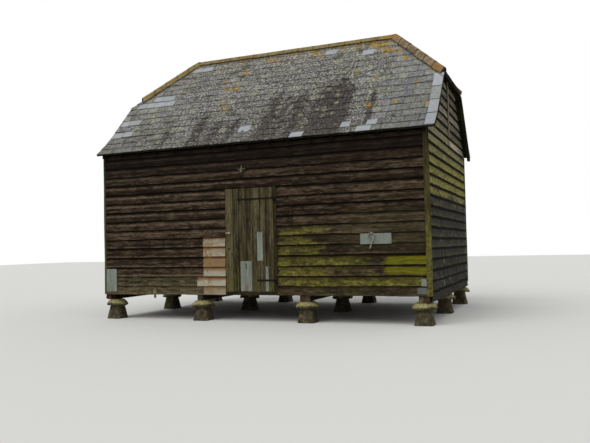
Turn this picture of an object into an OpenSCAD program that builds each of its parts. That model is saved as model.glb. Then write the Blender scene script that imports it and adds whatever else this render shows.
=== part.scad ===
// Raised granary: a weatherboarded timber store with a half-hipped slate roof,
// standing on three rows of four staddle stones.
// Millimetres. The origin is on the ground under the middle of the floor,
// +X runs along the front, the door faces -Y and +Z is up.

/* [Building] */
// Length over the weatherboards of the two gables
length = 7500; // [6900:10:8400]
// Width over the weatherboards of the front and the back
width = 5000; // [4700:10:5600]
// Height of the wall frame from the sills to the wall plates
frame_h = 2795; // [2760:5:3200]
// Thickness of the lapped weatherboards, over the laps
cladding_t = 40; // [30:1:55]
// Depth of the wall frame, behind the weatherboards
frame_t = 125; // [100:1:160]
// How far the front and back boards hang below the sills
board_drop = 30; // [10:1:60]
// How far the gable boards hang below the sills
gable_drop = 140; // [60:1:145]

/* [Staddle stones] */
// Height of a stem
stem_h = 305; // [200:5:450]
// Width of a stem at the ground
stem_foot_w = 380; // [340:5:440]
// Width of a stem under its cap
stem_top_w = 260; // [220:5:320]
// Greatest diameter of a cap
cap_d = 545; // [500:5:640]
// Height of a cap at its middle
cap_h = 135; // [110:1:180]
// Height of a cap's upright rim
cap_rim_h = 45; // [25:1:70]
// Diameter of the flat on top of a cap
cap_flat_d = 240; // [200:5:300]
// How far the underside of a cap is rounded in from its rim
cap_lip = 36; // [20:1:50]
// From the wall face in to the middle of the outer stones
staddle_inset = 200; // [170:1:230]
// From the middle of the building to the second line of stones, leftwards
staddle_left_x = 1280; // [1100:10:1500]
// From the middle of the building to the third line of stones, rightwards
staddle_right_x = 1160; // [1000:10:1400]

/* [Floor and sills] */
// Width of a cross beam
beam_w = 180; // [150:5:220]
// Height of a cross beam
beam_h = 150; // [120:5:200]
// Height of a sill
sill_h = 150; // [120:5:200]
// Width of the bricks and blocks that pack the front sill up
packer_w = 102; // [80:2:130]
// Depth of those packers, in front of the beams' ends
packer_d = 65; // [50:1:100]
// Thickness of the floor boards
floor_t = 25; // [20:1:40]
// Width of a floor joist
joist_w = 75; // [50:1:100]
// Greatest distance between floor joists
joist_gap = 520; // [400:10:600]

/* [Wall frame] */
// Width of a corner post
post_w = 125; // [100:1:160]
// Width of a door post
door_post_w = 110; // [90:1:140]
// Width of a stud
stud_w = 75; // [50:1:100]
// Greatest distance between studs
stud_gap = 640; // [500:10:800]
// Height of the wall plates and of the ties at their level
plate_h = 125; // [100:1:160]
// Width of a tie beam
tie_w = 150; // [120:5:200]
// Height of the lintel over the doorway
lintel_h = 110; // [90:1:140]

/* [Roof] */
// Pitch of the main slopes, degrees
main_pitch = 46.5; // [43:0.5:50]
// Pitch of the flatter eaves, degrees
eaves_pitch = 37.3; // [34:0.1:42]
// From the wall face in to the line where the roof flattens
kick_inset = 300; // [260:5:340]
// How far the eaves stand out from the wall face
eaves_over = 100; // [80:5:160]
// How far the slates stand out over a gable wall
verge_over = 150; // [100:5:170]
// How far a half-hip stands out over a gable wall
hip_over = 175; // [172:1:220]
// Pitch of the half-hips, degrees
hip_pitch = 44.2; // [42:0.1:48]
// From the wall face in to the end of the ridge
ridge_inset = 1150; // [1050:10:1250]
// Thickness of the slates with their battens, measured upright
slate_t = 65; // [50:1:80]
// Depth of a rafter, measured upright
rafter_t = 145; // [120:1:170]
// Width of a rafter
rafter_w = 60; // [45:1:80]
// Greatest distance between rafters
rafter_gap = 470; // [380:10:600]
// Thickness of a hip rafter
hip_rafter_w = 50; // [40:1:70]
// Thickness of the ridge board
ridge_board_w = 30; // [24:1:44]
// Height of the ridge board
ridge_board_h = 200; // [160:5:240]
// Depth of a sprocket at the eaves, measured upright
sprocket_t = 60; // [40:1:70]
// From the middle of the building to a purlin
purlin_y = 1100; // [1000:10:1200]
// Width of a purlin
purlin_w = 125; // [100:1:150]
// Depth of a purlin, measured upright
purlin_t = 150; // [120:1:180]
// Width of a queen strut and of a collar
strut_w = 100; // [75:1:120]
// Height of a collar
collar_h = 110; // [90:1:140]
// Thickness of the ridge and hip tiles, measured upright
tile_t = 26; // [20:1:40]
// Width of one wing of a ridge tile, measured in plan
ridge_wing = 120; // [90:5:160]
// Width of one wing of a hip tile, measured in plan
hip_wing = 135; // [90:5:170]
// Length in plan of the left front hip's last tile, which is missing
lost_tile_l = 300; // [250:10:350]
// Thickness of the boards on edge under the back slope's verges
verge_board_w = 75; // [50:1:100]
// Depth of these boards
verge_board_d = 100; // [60:5:140]
// Clearance at the sloping seats of the roof, measured upright
seat_gap = 0.3; // [0.2:0.05:0.5]

/* [Door] */
// From the middle of the building to the free edge of the door, leftwards
door_left_x = 600; // [500:5:700]
// Width of the door leaf
leaf_w = 1115; // [1000:5:1200]
// Height of the door leaf
leaf_h = 2175; // [1900:5:2230]
// Thickness of the door's planks
plank_t = 28; // [20:1:30]
// Gap around the door leaf
door_gap = 7; // [6:0.5:10]
// How far each door post stands behind the edge of the leaf
door_rebate = 50; // [35:1:60]
// Thickness of a ledge behind the planks
ledge_t = 28; // [20:1:32]
// Height of a ledge
ledge_h = 110; // [80:5:140]
// Height of the threshold board under the door
threshold_h = 64; // [50:1:80]
// Width of the strip on the hinge side of the door
jamb_strip_w = 66; // [60:1:90]
// Width of a strap hinge
strap_w = 36; // [30:1:50]
// Thickness of a strap hinge
strap_t = 7; // [5:1:9]
// Length of the upper strap from the pin
upper_strap_l = 830; // [600:10:950]
// Length of the lower strap from the pin
lower_strap_l = 400; // [300:10:600]
// From the foot of the leaf up to the lower strap
lower_strap_z = 236; // [180:1:300]
// From the foot of the leaf up to the upper strap
upper_strap_z = 1938; // [1700:1:1980]
// Diameter of a hinge pin
pin_d = 16; // [12:1:20]
// Length of the latch plate
latch_l = 106; // [60:2:140]
// From the foot of the leaf up to the latch plate
latch_z = 1245; // [1000:5:1400]
// Clearance between a pin and its eye
pin_gap = 0.3; // [0.2:0.05:0.5]
// Wall of a strap's eye
eye_wall = 7; // [5:0.5:9]
// From the wall face out to the middle of the pins
pin_out = 22.5; // [22:0.5:26]

/* [Trim and patches] */
// Width of the corner boards on the right
corner_board_w = 105; // [60:5:140]
// Width of the corner boards on the left
corner_board_left_w = 50; // [45:5:140]
// Width of the strip over the joint in the right gable
joint_strip_w = 90; // [60:5:140]
// Thickness of the strip over the joint in the right gable
joint_strip_t = 20; // [12:1:30]
// Height of the foot of that strip above the sills' top
joint_strip_z = 3180; // [3100:10:3400]
// Thickness of the zinc patches
zinc_t = 3; // [1.5:0.5:4]
// Width of the sheet on the left corner
corner_sheet_w = 250; // [150:5:400]
// Height of the sheet on the left corner
corner_sheet_h = 525; // [300:5:700]
// From the foot of the boards up to the sheet on the left corner
corner_sheet_z = 55; // [20:5:200]
// Width of the long sheet on the right of the door
long_sheet_w = 630; // [400:5:800]
// Height of the long sheet
long_sheet_h = 215; // [120:5:300]
// From the right gable to the near end of the long sheet
long_sheet_x = 755; // [500:5:1000]
// From the foot of the boards up to the long sheet
long_sheet_z = 1005; // [800:5:1200]
// Width of the upper small sheet by the right corner
upper_scrap_w = 105; // [60:5:160]
// Height of the upper small sheet
upper_scrap_h = 145; // [80:5:180]
// From the foot of the boards up to the upper small sheet
upper_scrap_z = 190; // [170:5:260]
// Width of the lower small sheet by the right corner
lower_scrap_w = 185; // [100:5:240]
// Height of the lower small sheet
lower_scrap_h = 125; // [80:5:125]
// From the foot of the boards up to the lower small sheet
lower_scrap_z = 40; // [10:5:44]

/* [Iron on the front wall] */
// Middle of the ring on the long sheet, from the right end of the building
wall_ring_x = 1150; // [1000:5:1300]
// Middle of the ring above the foot of the boards
wall_ring_z = 1180; // [1150:5:1200]
// Radius of the ring to the middle of its bar
wall_ring_r = 52; // [40:1:60]
// Thickness of the ring's bar
wall_ring_bar = 14; // [10:1:18]
// Length of the iron that hangs from the ring
wall_tail_l = 210; // [150:5:250]
// Its lean to the left, in degrees
wall_tail_lean = 10; // [0:1:20]
// Middle of the bracket over the door, leftwards from the middle of the building
bracket_x = 188; // [150:1:230]
// Foot of the bracket above the foot of the boards
bracket_z = 2583; // [2500:1:2650]
// Width of the bracket's bar
bracket_w = 210; // [150:5:250]
// Height of the bracket
bracket_h = 140; // [100:5:160]
// Thickness of the bracket's bars
bracket_bar = 16; // [10:1:24]
// Middle of the strap at the boards' foot, leftwards from the middle of the building
foot_strap_x = 2384; // [2300:1:2450]
// Width of that strap
foot_strap_w = 60; // [40:1:80]
// Its height, of which a third hangs below the boards
foot_strap_h = 220; // [180:5:260]
// Its thickness
foot_strap_t = 5; // [3:1:8]

/* [Hidden] */

// Colours, as the photograph shows them
oak = "#6b5b47";
board_brown = "#5a4c3c";
board_green = "#6f6a3a";
slate_grey = "#7c7a76";
clay = "#a5703c";
stone = "#8f8a6c";
iron = "#3a302a";
zinc = "#a3adab";
brick_red = "#8a4a36";

// Half sizes and the planes of the walls
half_l = length / 2;
half_w = width / 2;
frame_x = half_l - cladding_t;
frame_y = half_w - cladding_t;
inner_x = frame_x - frame_t;
inner_y = frame_y - frame_t;

// Levels, from the ground up
cap_top = stem_h + cap_h;
sill_z = cap_top + beam_h;
frame_z = sill_z + sill_h;
plate_z = frame_z + frame_h;
plate_top = plate_z + plate_h;
board_foot = sill_z - board_drop;
gable_foot = sill_z - gable_drop;

// Plan lines of the staddle stones
staddle_x = [-(half_l - staddle_inset), -staddle_left_x, staddle_right_x, half_l - staddle_inset];
staddle_y = half_w - staddle_inset;
beam_x = [-(frame_x - beam_w / 2), -staddle_left_x, staddle_right_x, frame_x - beam_w / 2];

// The roof's section: eaves, the line where it flattens, and the ridge.
// The seat of the rafters on the wall plates sets its height.
main_slope = tan(main_pitch);
eaves_slope = tan(eaves_pitch);
hip_slope = tan(hip_pitch);
eaves_y = half_w + eaves_over;
kick_y = half_w - kick_inset;
rafter_seat = 60;
rafter_top = slate_t + seat_gap;
rafter_under = rafter_top + rafter_t;
kick_z = plate_top + rafter_under + main_slope * (frame_y - rafter_seat - kick_y);
eaves_z = kick_z - eaves_slope * (eaves_y - kick_y);
ridge_z = kick_z + main_slope * kick_y;

// The half-hips: end of the ridge, eaves line and its half width
ridge_x = half_l - ridge_inset;
hip_x = half_l + hip_over;
verge_x = half_l + verge_over;
hip_z = ridge_z - hip_slope * (hip_x - ridge_x);
hip_y = (ridge_z - hip_z) / main_slope;
hip_run = sqrt(pow(hip_x - ridge_x, 2) + pow(hip_y, 2));

// The door, from its hinge pins
leaf_x0 = -door_left_x;
leaf_x1 = leaf_x0 + leaf_w;
leaf_foot = board_foot + threshold_h + 6;
leaf_top = leaf_foot + leaf_h;
pin_x = leaf_x1 + 10;
pin_y = -(half_w + pin_out);
eye_r = pin_d / 2 + pin_gap + eye_wall;
strap_z = [leaf_foot + lower_strap_z, leaf_foot + upper_strap_z];
strap_l = [lower_strap_l, upper_strap_l];
clear_x0 = leaf_x0 + door_rebate;
clear_x1 = leaf_x1 - door_rebate;
lintel_z = leaf_top - door_rebate;
opening_x0 = leaf_x0 - door_gap;
opening_x1 = leaf_x1 + door_gap;
strip_x1 = opening_x1 + jamb_strip_w;
opening_top = leaf_top + door_gap;
pintle_arm_h = 14;
pintle_plate_t = 6;
pintle_plate_h = 90;
big = 2 * (length + width);

// Top of the slates over a point y of the main slopes and the eaves
function slope_z(y) = abs(y) < kick_y
    ? ridge_z - main_slope * abs(y)
    : kick_z - eaves_slope * (abs(y) - kick_y);
// The main slopes carried on straight, as the rafters run
function rafter_z(y) = ridge_z - main_slope * abs(y);
// Top of the slates over a point x of a half-hip
function end_z(x) = hip_z + hip_slope * (hip_x - abs(x));
// Plan half width of a half-hip at x
function hip_half(x) = hip_y * (abs(x) - ridge_x) / (hip_x - ridge_x);
// Evenly spaced places from a to b, both ends in, no further apart than gap
function spread(a, b, gap) =
    let (n = max(1, ceil((b - a) / gap)))
    [for (i = [0:n]) a + (b - a) * i / n];
// The same without its two ends
function inner_spread(a, b, gap) =
    let (all_of = spread(a, b, gap))
    [for (i = [1:1:len(all_of) - 2]) all_of[i]];

// A box from its lowest corner to its highest
module block(low, high) {
    translate(low) cube(high - low);
}

// A section in Y and Z carried along X from x0 to x1
module along_x(x0, x1) {
    translate([x0, 0, 0]) rotate([90, 0, 90]) linear_extrude(x1 - x0) children();
}

// A section in X and Z carried along Y from -half to half
module along_y(half) {
    translate([0, half, 0]) rotate([90, 0, 0]) linear_extrude(2 * half) children();
}

// The front and its mirror image at the back
module both_sides() {
    children();
    mirror([0, 1, 0]) children();
}

// The right end and its mirror image on the left
module both_ends() {
    children();
    mirror([1, 0, 0]) children();
}

// One layer of the front slope with its flatter eaves, between two depths below
// the slates' top
module front_layer(top, bottom) {
    along_x(-verge_x - 1, verge_x + 1)
        polygon([
            [-eaves_y, eaves_z - top], [-kick_y, kick_z - top], [0, ridge_z - top],
            [0, ridge_z - bottom], [-kick_y, kick_z - bottom], [-eaves_y, eaves_z - bottom]
        ]);
}

// One layer along the line of the front rafters, without the flatter eaves
module rafter_layer(top, bottom, y_foot = frame_y) {
    along_x(-hip_x, hip_x)
        polygon([
            [-y_foot, rafter_z(y_foot) - top], [0, ridge_z - top],
            [0, ridge_z - bottom], [-y_foot, rafter_z(y_foot) - bottom]
        ]);
}

// One layer of the right half-hip, out to x_foot
module end_layer(top, bottom, x_foot = hip_x) {
    along_y(half_w)
        polygon([
            [x_foot, end_z(x_foot) - top], [ridge_x - 1, end_z(ridge_x - 1) - top],
            [ridge_x - 1, end_z(ridge_x - 1) - bottom], [x_foot, end_z(x_foot) - bottom]
        ]);
}

// Everything under the main slopes and the half-hips carried on straight, raised
// by t, or lowered where t is negative
module under_roof(t) {
    intersection() {
        along_x(-hip_x, hip_x) polygon([
            [-frame_y, 0], [-frame_y, rafter_z(frame_y) + t], [0, ridge_z + t],
            [frame_y, rafter_z(frame_y) + t], [frame_y, 0]
        ]);
        along_y(half_w) polygon([
            [-hip_x, 0], [-hip_x, end_z(hip_x) + t], [0, end_z(0) + t],
            [hip_x, end_z(hip_x) + t], [hip_x, 0]
        ]);
    }
}

// The layer between two depths below the slates' top, mitred at ridge and hips
module roof_layer(top, bottom) {
    difference() {
        under_roof(-top);
        under_roof(-bottom);
    }
}

// An upright prism over a plan shape, through the whole roof
module over_plan() {
    translate([0, 0, -big / 2]) linear_extrude(big) children();
}

// Plan of the front slope, mitred to the half-hips
module front_plan(inset = 0, end = verge_x) {
    cut = inset * hip_run / (hip_x - ridge_x);
    polygon([
        [-end, -eaves_y], [end, -eaves_y], [end, -hip_half(end) - cut],
        [ridge_x, -cut], [-ridge_x, -cut], [-end, -hip_half(end) - cut]
    ]);
}

// Plan of the right half-hip, mitred to the main slopes
module end_plan(inset = 0) {
    cut = inset * hip_run / hip_y;
    polygon([
        [hip_x, -hip_half(hip_x - cut)], [hip_x, hip_half(hip_x - cut)],
        [ridge_x + cut, 0]
    ]);
}

// Plan strip along the front right hip, w to each side of its middle line
module hip_strip(w) {
    translate([ridge_x, 0]) rotate(atan2(-hip_y, hip_x - ridge_x))
        translate([-w, -w]) square([hip_run + 2 * w, 2 * w]);
}

// Studs of the front wall, evenly spaced between a and b
module front_studs(a, b) {
    for (x = inner_spread(a, b, stud_gap))
        block([x - stud_w / 2, -frame_y, frame_z], [x + stud_w / 2, -inner_y, plate_z]);
}

// One battered square stem: the overlap of two upright trapezoids
module stem() {
    foot = stem_foot_w / 2;
    top = stem_top_w / 2;
    intersection() {
        translate([0, foot, 0]) rotate([90, 0, 0]) linear_extrude(stem_foot_w)
            polygon([[-foot, 0], [foot, 0], [top, stem_h], [-top, stem_h]]);
        translate([-foot, 0, 0]) rotate([90, 0, 90]) linear_extrude(stem_foot_w)
            polygon([[-foot, 0], [foot, 0], [top, stem_h], [-top, stem_h]]);
    }
}

// One mushroom cap: an upright rim, a dome and a flat that carries the beam
module cap() {
    rim = cap_d / 2;
    dome_h = cap_h - cap_rim_h;
    flat = cap_flat_d / 2;
    steps = 7;
    translate([0, 0, stem_h]) rotate_extrude($fn = 48) polygon(concat(
        [[0, 0], [rim - cap_lip, 0], [rim, cap_rim_h / 3]],
        [for (i = [0:steps])
            let (a = 90 * i / steps)
            [flat + (rim - flat) * cos(a), cap_rim_h + dome_h * sin(a)]],
        [[0, cap_h]]
    ));
}

module stem_row(y) {
    color(stone) for (x = staddle_x) translate([x, y, 0]) stem();
}

module cap_row(y) {
    color(stone) for (x = staddle_x) translate([x, y, 0]) cap();
}

module cross_beams() {
    color(oak) for (x = beam_x)
        block([x - beam_w / 2, packer_d - frame_y, cap_top], [x + beam_w / 2, frame_y, sill_z]);
}

// One packer on end, from x0 rightwards, between a cap and the front sill
module packer(x0) {
    block([x0, -frame_y, cap_top], [x0 + packer_w, packer_d - frame_y, sill_z]);
}

// Bricks on end: at the left corner, on the third stone and at the right corner
module brick_packers() {
    color(brick_red) for (x = [-frame_x, staddle_right_x - packer_w, frame_x - 1.25 * packer_w])
        packer(x);
}

// Blocks of stone: on the second stone, and beside the last two bricks
module block_packers() {
    color(stone)
        for (x = [-staddle_left_x - packer_w / 2, staddle_right_x + 4, frame_x - 2.3 * packer_w])
            packer(x);
}

module front_sill() {
    color(oak) block([-frame_x, -frame_y, sill_z], [frame_x, -inner_y, frame_z]);
}

module back_sill() {
    color(oak) block([-frame_x, inner_y, sill_z], [frame_x, frame_y, frame_z]);
}

module gable_sills() {
    color(oak) both_ends()
        block([inner_x, -inner_y, sill_z], [frame_x, inner_y, frame_z]);
}

module floor_joists() {
    color(oak) for (y = inner_spread(-inner_y, inner_y, joist_gap))
        block([-inner_x, y - joist_w / 2, sill_z], [inner_x, y + joist_w / 2, frame_z - floor_t]);
}

module floor_boards() {
    color(oak) block([-inner_x, -inner_y, frame_z - floor_t], [inner_x, inner_y, frame_z]);
}

module corner_posts() {
    color(oak) both_ends() both_sides()
        block([frame_x - post_w, -frame_y, frame_z], [frame_x, -inner_y, plate_z]);
}

module door_posts() {
    color(oak) {
        block([clear_x0 - door_post_w, -frame_y, frame_z], [clear_x0, -inner_y, plate_z]);
        block([clear_x1, -frame_y, frame_z], [clear_x1 + door_post_w, -inner_y, plate_z]);
    }
}

module door_head() {
    middle = (clear_x0 + clear_x1) / 2;
    color(oak) {
        block([clear_x0, -frame_y, lintel_z], [clear_x1, -inner_y, lintel_z + lintel_h]);
        block([middle - stud_w / 2, -frame_y, lintel_z + lintel_h],
            [middle + stud_w / 2, -inner_y, plate_z]);
    }
}

module front_studs_left() {
    color(oak) front_studs(-frame_x + post_w, clear_x0 - door_post_w);
}

module front_studs_right() {
    color(oak) front_studs(clear_x1 + door_post_w, frame_x - post_w);
}

module back_studs() {
    color(oak) mirror([0, 1, 0]) front_studs(-frame_x + post_w, frame_x - post_w);
}

// Studs of the right gable: a full row under the tie, a short row between the
// tie and the collar under the half-hip
module gable_studs() {
    color(oak) {
        for (y = inner_spread(-inner_y, inner_y, stud_gap))
            block([inner_x, y - stud_w / 2, frame_z], [frame_x, y + stud_w / 2, plate_z]);
        for (y = [-stud_gap / 2, stud_gap / 2])
            block([inner_x, y - stud_w / 2, plate_top], [frame_x, y + stud_w / 2, collar_z]);
    }
}

module gable_studs_right() {
    gable_studs();
}

module gable_studs_left() {
    mirror([1, 0, 0]) gable_studs();
}

module wall_plates() {
    color(oak) both_sides()
        block([-frame_x, -frame_y, plate_z], [frame_x, -inner_y, plate_top]);
}

module gable_ties() {
    color(oak) both_ends()
        block([inner_x, -inner_y, plate_z], [frame_x, inner_y, plate_top]);
}

module tie_beams() {
    color(oak) for (x = [-staddle_left_x, staddle_right_x])
        block([x - tie_w / 2, -inner_y, plate_z], [x + tie_w / 2, inner_y, plate_top]);
}

// Depth of the purlins below the slates' top
purlin_top = rafter_under + seat_gap;
purlin_under = purlin_top + purlin_t;
// Collars lie between the purlins, with their tops under the rafters
purlin_in = purlin_y - purlin_w / 2;
purlin_out = purlin_y + purlin_w / 2;
collar_top = rafter_z(purlin_out) - rafter_under - 20;
// The gable collars carry the feet of the jack rafters
collar_z = end_z(frame_x) - rafter_under - collar_h + 40;
gable_collar_y = (ridge_z - rafter_under - collar_z - collar_h) / main_slope;

module purlins() {
    color(oak) both_sides() intersection() {
        rafter_layer(purlin_top, purlin_under);
        block([-frame_x, -purlin_out, 0], [frame_x, -purlin_in, ridge_z]);
    }
}

// Queen struts stand on the tie beams, and on the gable ties, under the purlins
module queen_struts() {
    foot = plate_top;
    section = [
        [-purlin_out, foot], [-purlin_in, foot],
        [-purlin_in, rafter_z(purlin_in) - purlin_under - seat_gap],
        [-purlin_out, rafter_z(purlin_out) - purlin_under - seat_gap]
    ];
    color(oak) both_sides() {
        for (x = [-staddle_left_x, staddle_right_x])
            along_x(x - strut_w / 2, x + strut_w / 2) polygon(section);
        both_ends() along_x(inner_x, inner_x + strut_w) polygon(section);
    }
}

module collars() {
    color(oak) for (x = [-staddle_left_x, staddle_right_x])
        block([x - strut_w / 2, -purlin_in, collar_top - collar_h],
            [x + strut_w / 2, purlin_in, collar_top]);
}

module gable_collars() {
    color(oak) both_ends()
        block([inner_x, -gable_collar_y, collar_z], [frame_x, gable_collar_y, collar_z + collar_h]);
}

// The ridge board, with a nose beyond the end of the ridge for the hip rafters
module ridge_board() {
    nose = 60;
    half = ridge_board_w / 2;
    top = ridge_z - rafter_top - half * main_slope;
    color(oak) intersection() {
        block([-ridge_x - nose, -half, top - ridge_board_h], [ridge_x + nose, half, top]);
        under_roof(-rafter_top);
    }
}

// Hip rafters follow the mitre between a main slope and a half-hip
module hip_rafters() {
    color(oak) both_ends() both_sides() intersection() {
        roof_layer(rafter_top, rafter_under);
        over_plan() hip_strip(hip_rafter_w / 2);
        block([0, -half_w, 0], [frame_x, -ridge_board_w / 2, ridge_z]);
        gable_collar_clear();
    }
}

// Everything but the gable collar and what is under it
module gable_collar_clear() {
    difference() {
        block([0, -half_w, 0], [hip_x, half_w, ridge_z]);
        block([inner_x, -half_w, 0], [hip_x, half_w, collar_z + collar_h]);
    }
}

// Common rafters, cut short by the hip rafters and notched over the wall plate
module front_rafters() {
    ends = frame_x - rafter_w / 2;
    color(oak) difference() {
        intersection() {
            rafter_layer(rafter_top, rafter_under);
            over_plan() intersection() {
                front_plan(hip_rafter_w / 2 + seat_gap, hip_x);
                translate([-hip_x, -frame_y]) square([2 * hip_x, frame_y - ridge_board_w / 2]);
            }
            union() for (x = spread(-ends, ends, rafter_gap))
                block([x - rafter_w / 2, -frame_y, 0], [x + rafter_w / 2, 0, ridge_z]);
        }
        block([-frame_x, -frame_y, 0], [frame_x, -inner_y, plate_top]);
    }
}

module rafters_front() {
    front_rafters();
}

module rafters_back() {
    mirror([0, 1, 0]) front_rafters();
}

// Jack rafters of the half-hips, notched over the gable collars
module jack_rafters() {
    color(oak) both_ends() intersection() {
        end_layer(rafter_top, rafter_under, frame_x);
        over_plan() end_plan(hip_rafter_w / 2 + seat_gap);
        union() for (y = [-rafter_gap, 0, rafter_gap])
            block([ridge_x + 60, y - rafter_w / 2, 0], [frame_x, y + rafter_w / 2, ridge_z]);
        gable_collar_clear();
    }
}

// Sprockets lie on the rafters and carry the flatter eaves
module sprockets() {
    ends = frame_x - rafter_w / 2;
    tail = eaves_y - 20;
    tip = kick_y + seat_gap / (main_slope - eaves_slope);
    color(oak) both_sides() intersection() {
        along_x(-frame_x, frame_x) polygon([
            [-tail, slope_z(tail) - rafter_top], [-tip, slope_z(tip) - rafter_top],
            [-frame_y, rafter_z(frame_y) - slate_t],
            [-frame_y, slope_z(frame_y) - rafter_top - sprocket_t],
            [-tail, slope_z(tail) - rafter_top - sprocket_t]
        ]);
        union() for (x = spread(-ends, ends, rafter_gap))
            block([x - rafter_w / 2, -eaves_y, 0], [x + rafter_w / 2, 0, ridge_z]);
    }
}

// Boards on edge under the verges of the back slope, from the half-hips to the eaves
module verge_boards() {
    color(oak) both_ends() intersection() {
        roof_layer(rafter_top, rafter_top + verge_board_d);
        block([verge_x - verge_board_w, hip_y, 0], [verge_x, eaves_y, big]);
    }
}

// Top of the front and back boards, under the sprockets
wall_top = slope_z(half_w) - rafter_top - sprocket_t - 4;

module front_wall_left() {
    color(board_brown)
        block([-half_l + corner_board_left_w, -half_w, board_foot], [opening_x0, -frame_y, wall_top]);
}

module front_wall_right() {
    color(board_brown)
        block([strip_x1, -half_w, board_foot], [half_l - corner_board_w, -frame_y, wall_top]);
}

module front_wall_over_door() {
    color(board_brown)
        block([opening_x0, -half_w, opening_top], [strip_x1, -frame_y, wall_top]);
}

module back_wall() {
    color(board_brown)
        block([-half_l + corner_board_left_w, frame_y, board_foot],
            [half_l - corner_board_w, half_w, wall_top]);
}

// A gable's boards, cut to the underside of the roof
module gable_boards() {
    y = frame_y;
    top = end_z(half_l) - rafter_top;
    top_y = (ridge_z - rafter_top - top) / main_slope;
    color(board_green) along_x(frame_x, half_l) polygon([
        [-y, gable_foot], [y, gable_foot], [y, slope_z(y) - rafter_top],
        [kick_y, kick_z - rafter_top], [top_y, top], [-top_y, top],
        [-kick_y, kick_z - rafter_top], [-y, slope_z(y) - rafter_top]
    ]);
}

module right_gable_wall() {
    gable_boards();
}

module left_gable_wall() {
    mirror([1, 0, 0]) gable_boards();
}

// Corner boards cover the ends of the front and back boards
module corner_boards() {
    foot = board_foot;
    color(board_green) both_sides() {
        block([half_l - corner_board_w, -half_w, foot], [half_l, -frame_y, wall_top]);
        block([-half_l, -half_w, foot], [-half_l + corner_board_left_w, -frame_y, wall_top]);
    }
}

module door_jamb_strip() {
    color(board_brown)
        block([opening_x1, -half_w, board_foot], [strip_x1, -frame_y, opening_top]);
}

module threshold() {
    color(board_brown)
        block([opening_x0, -half_w, board_foot], [opening_x1, -frame_y, board_foot + threshold_h]);
}

// The strip over the joint where the old loading hatch was boarded up
module gable_joint_strip() {
    foot = frame_z + joint_strip_z;
    top = end_z(half_l + joint_strip_t) - rafter_top;
    color(board_brown)
        block([half_l, -joint_strip_w / 2, foot], [half_l + joint_strip_t, joint_strip_w / 2, top]);
}

module front_slope() {
    color(slate_grey) intersection() {
        front_layer(0, slate_t);
        over_plan() front_plan();
    }
}

module back_slope() {
    mirror([0, 1, 0]) front_slope();
}

module right_half_hip() {
    color(slate_grey) intersection() {
        end_layer(0, slate_t);
        over_plan() end_plan(seat_gap);
    }
}

module left_half_hip() {
    mirror([1, 0, 0]) right_half_hip();
}

// Two wings that meet over the ridge
module ridge_tiles() {
    color(clay) intersection() {
        roof_layer(-tile_t, -seat_gap);
        block([-ridge_x, -ridge_wing, 0], [ridge_x, ridge_wing, big]);
    }
}

// Two wings over each hip, cut off at the verges and at the ridge tiles
module hip_tiles() {
    color(clay) difference() {
        both_ends() intersection() {
            roof_layer(-tile_t, -seat_gap);
            over_plan() difference() {
                both_sides() hip_strip(hip_wing);
                both_sides() translate([verge_x, hip_half(verge_x)]) square(half_w);
                translate([-ridge_x, -ridge_wing]) square([2 * ridge_x, 2 * ridge_wing]);
            }
        }
        mirror([1, 0, 0]) over_plan() lost_tile();
    }
}

// Plan of the missing last tile, drawn on the front right hip
module lost_tile() {
    translate([ridge_x, 0]) rotate(atan2(-hip_y, hip_x - ridge_x))
        translate([hip_run - lost_tile_l, -2 * hip_wing])
            square([2 * lost_tile_l, 4 * hip_wing]);
}

// Zinc sheets nailed over holes in the front boards: lowest left corner and size
sheet_edge_x = half_l - corner_board_w;
patches = [
    [-half_l + corner_board_left_w, board_foot + corner_sheet_z, corner_sheet_w, corner_sheet_h],
    [half_l - long_sheet_x - long_sheet_w, board_foot + long_sheet_z, long_sheet_w, long_sheet_h],
    [sheet_edge_x - upper_scrap_w, board_foot + upper_scrap_z, upper_scrap_w, upper_scrap_h],
    [sheet_edge_x - lower_scrap_w, board_foot + lower_scrap_z, lower_scrap_w, lower_scrap_h]
];

module wall_patches() {
    color(zinc) for (p = patches)
        block([p[0], -half_w - zinc_t, p[1]], [p[0] + p[2], -half_w, p[1] + p[3]]);
}

// A ring with hanging iron on the long sheet, a cross-shaped bracket over the door
// and a strap over the boards' foot
module wall_ironwork() {
    ring_y = -half_w - zinc_t - seat_gap - wall_ring_bar / 2;
    ring_z = board_foot + wall_ring_z;
    bar = bracket_bar / 2;
    foot = board_foot + bracket_z;
    color(iron) {
        translate([half_l - wall_ring_x, ring_y, ring_z]) rotate([90, 0, 0])
            rotate_extrude($fn = 32) translate([wall_ring_r, 0])
                circle(wall_ring_bar / 2, $fn = 12);
        translate([half_l - wall_ring_x, ring_y, ring_z - wall_ring_r])
            rotate([0, 180 + wall_tail_lean, 0])
                cylinder(h = wall_tail_l, r = wall_ring_bar / 2 - 1, $fn = 12);
        block([-bracket_x - bracket_w / 2, -half_w - bracket_bar, foot + bracket_h / 2 - bar],
            [-bracket_x + bracket_w / 2, -half_w, foot + bracket_h / 2 + bar]);
        block([-bracket_x - bar, -half_w - bracket_bar, foot],
            [-bracket_x + bar, -half_w, foot + bracket_h]);
        block([-foot_strap_x - foot_strap_w / 2, -half_w - foot_strap_t,
                board_foot - foot_strap_h / 3],
            [-foot_strap_x + foot_strap_w / 2, -half_w,
                board_foot + foot_strap_h * 2 / 3]);
    }
}

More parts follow.
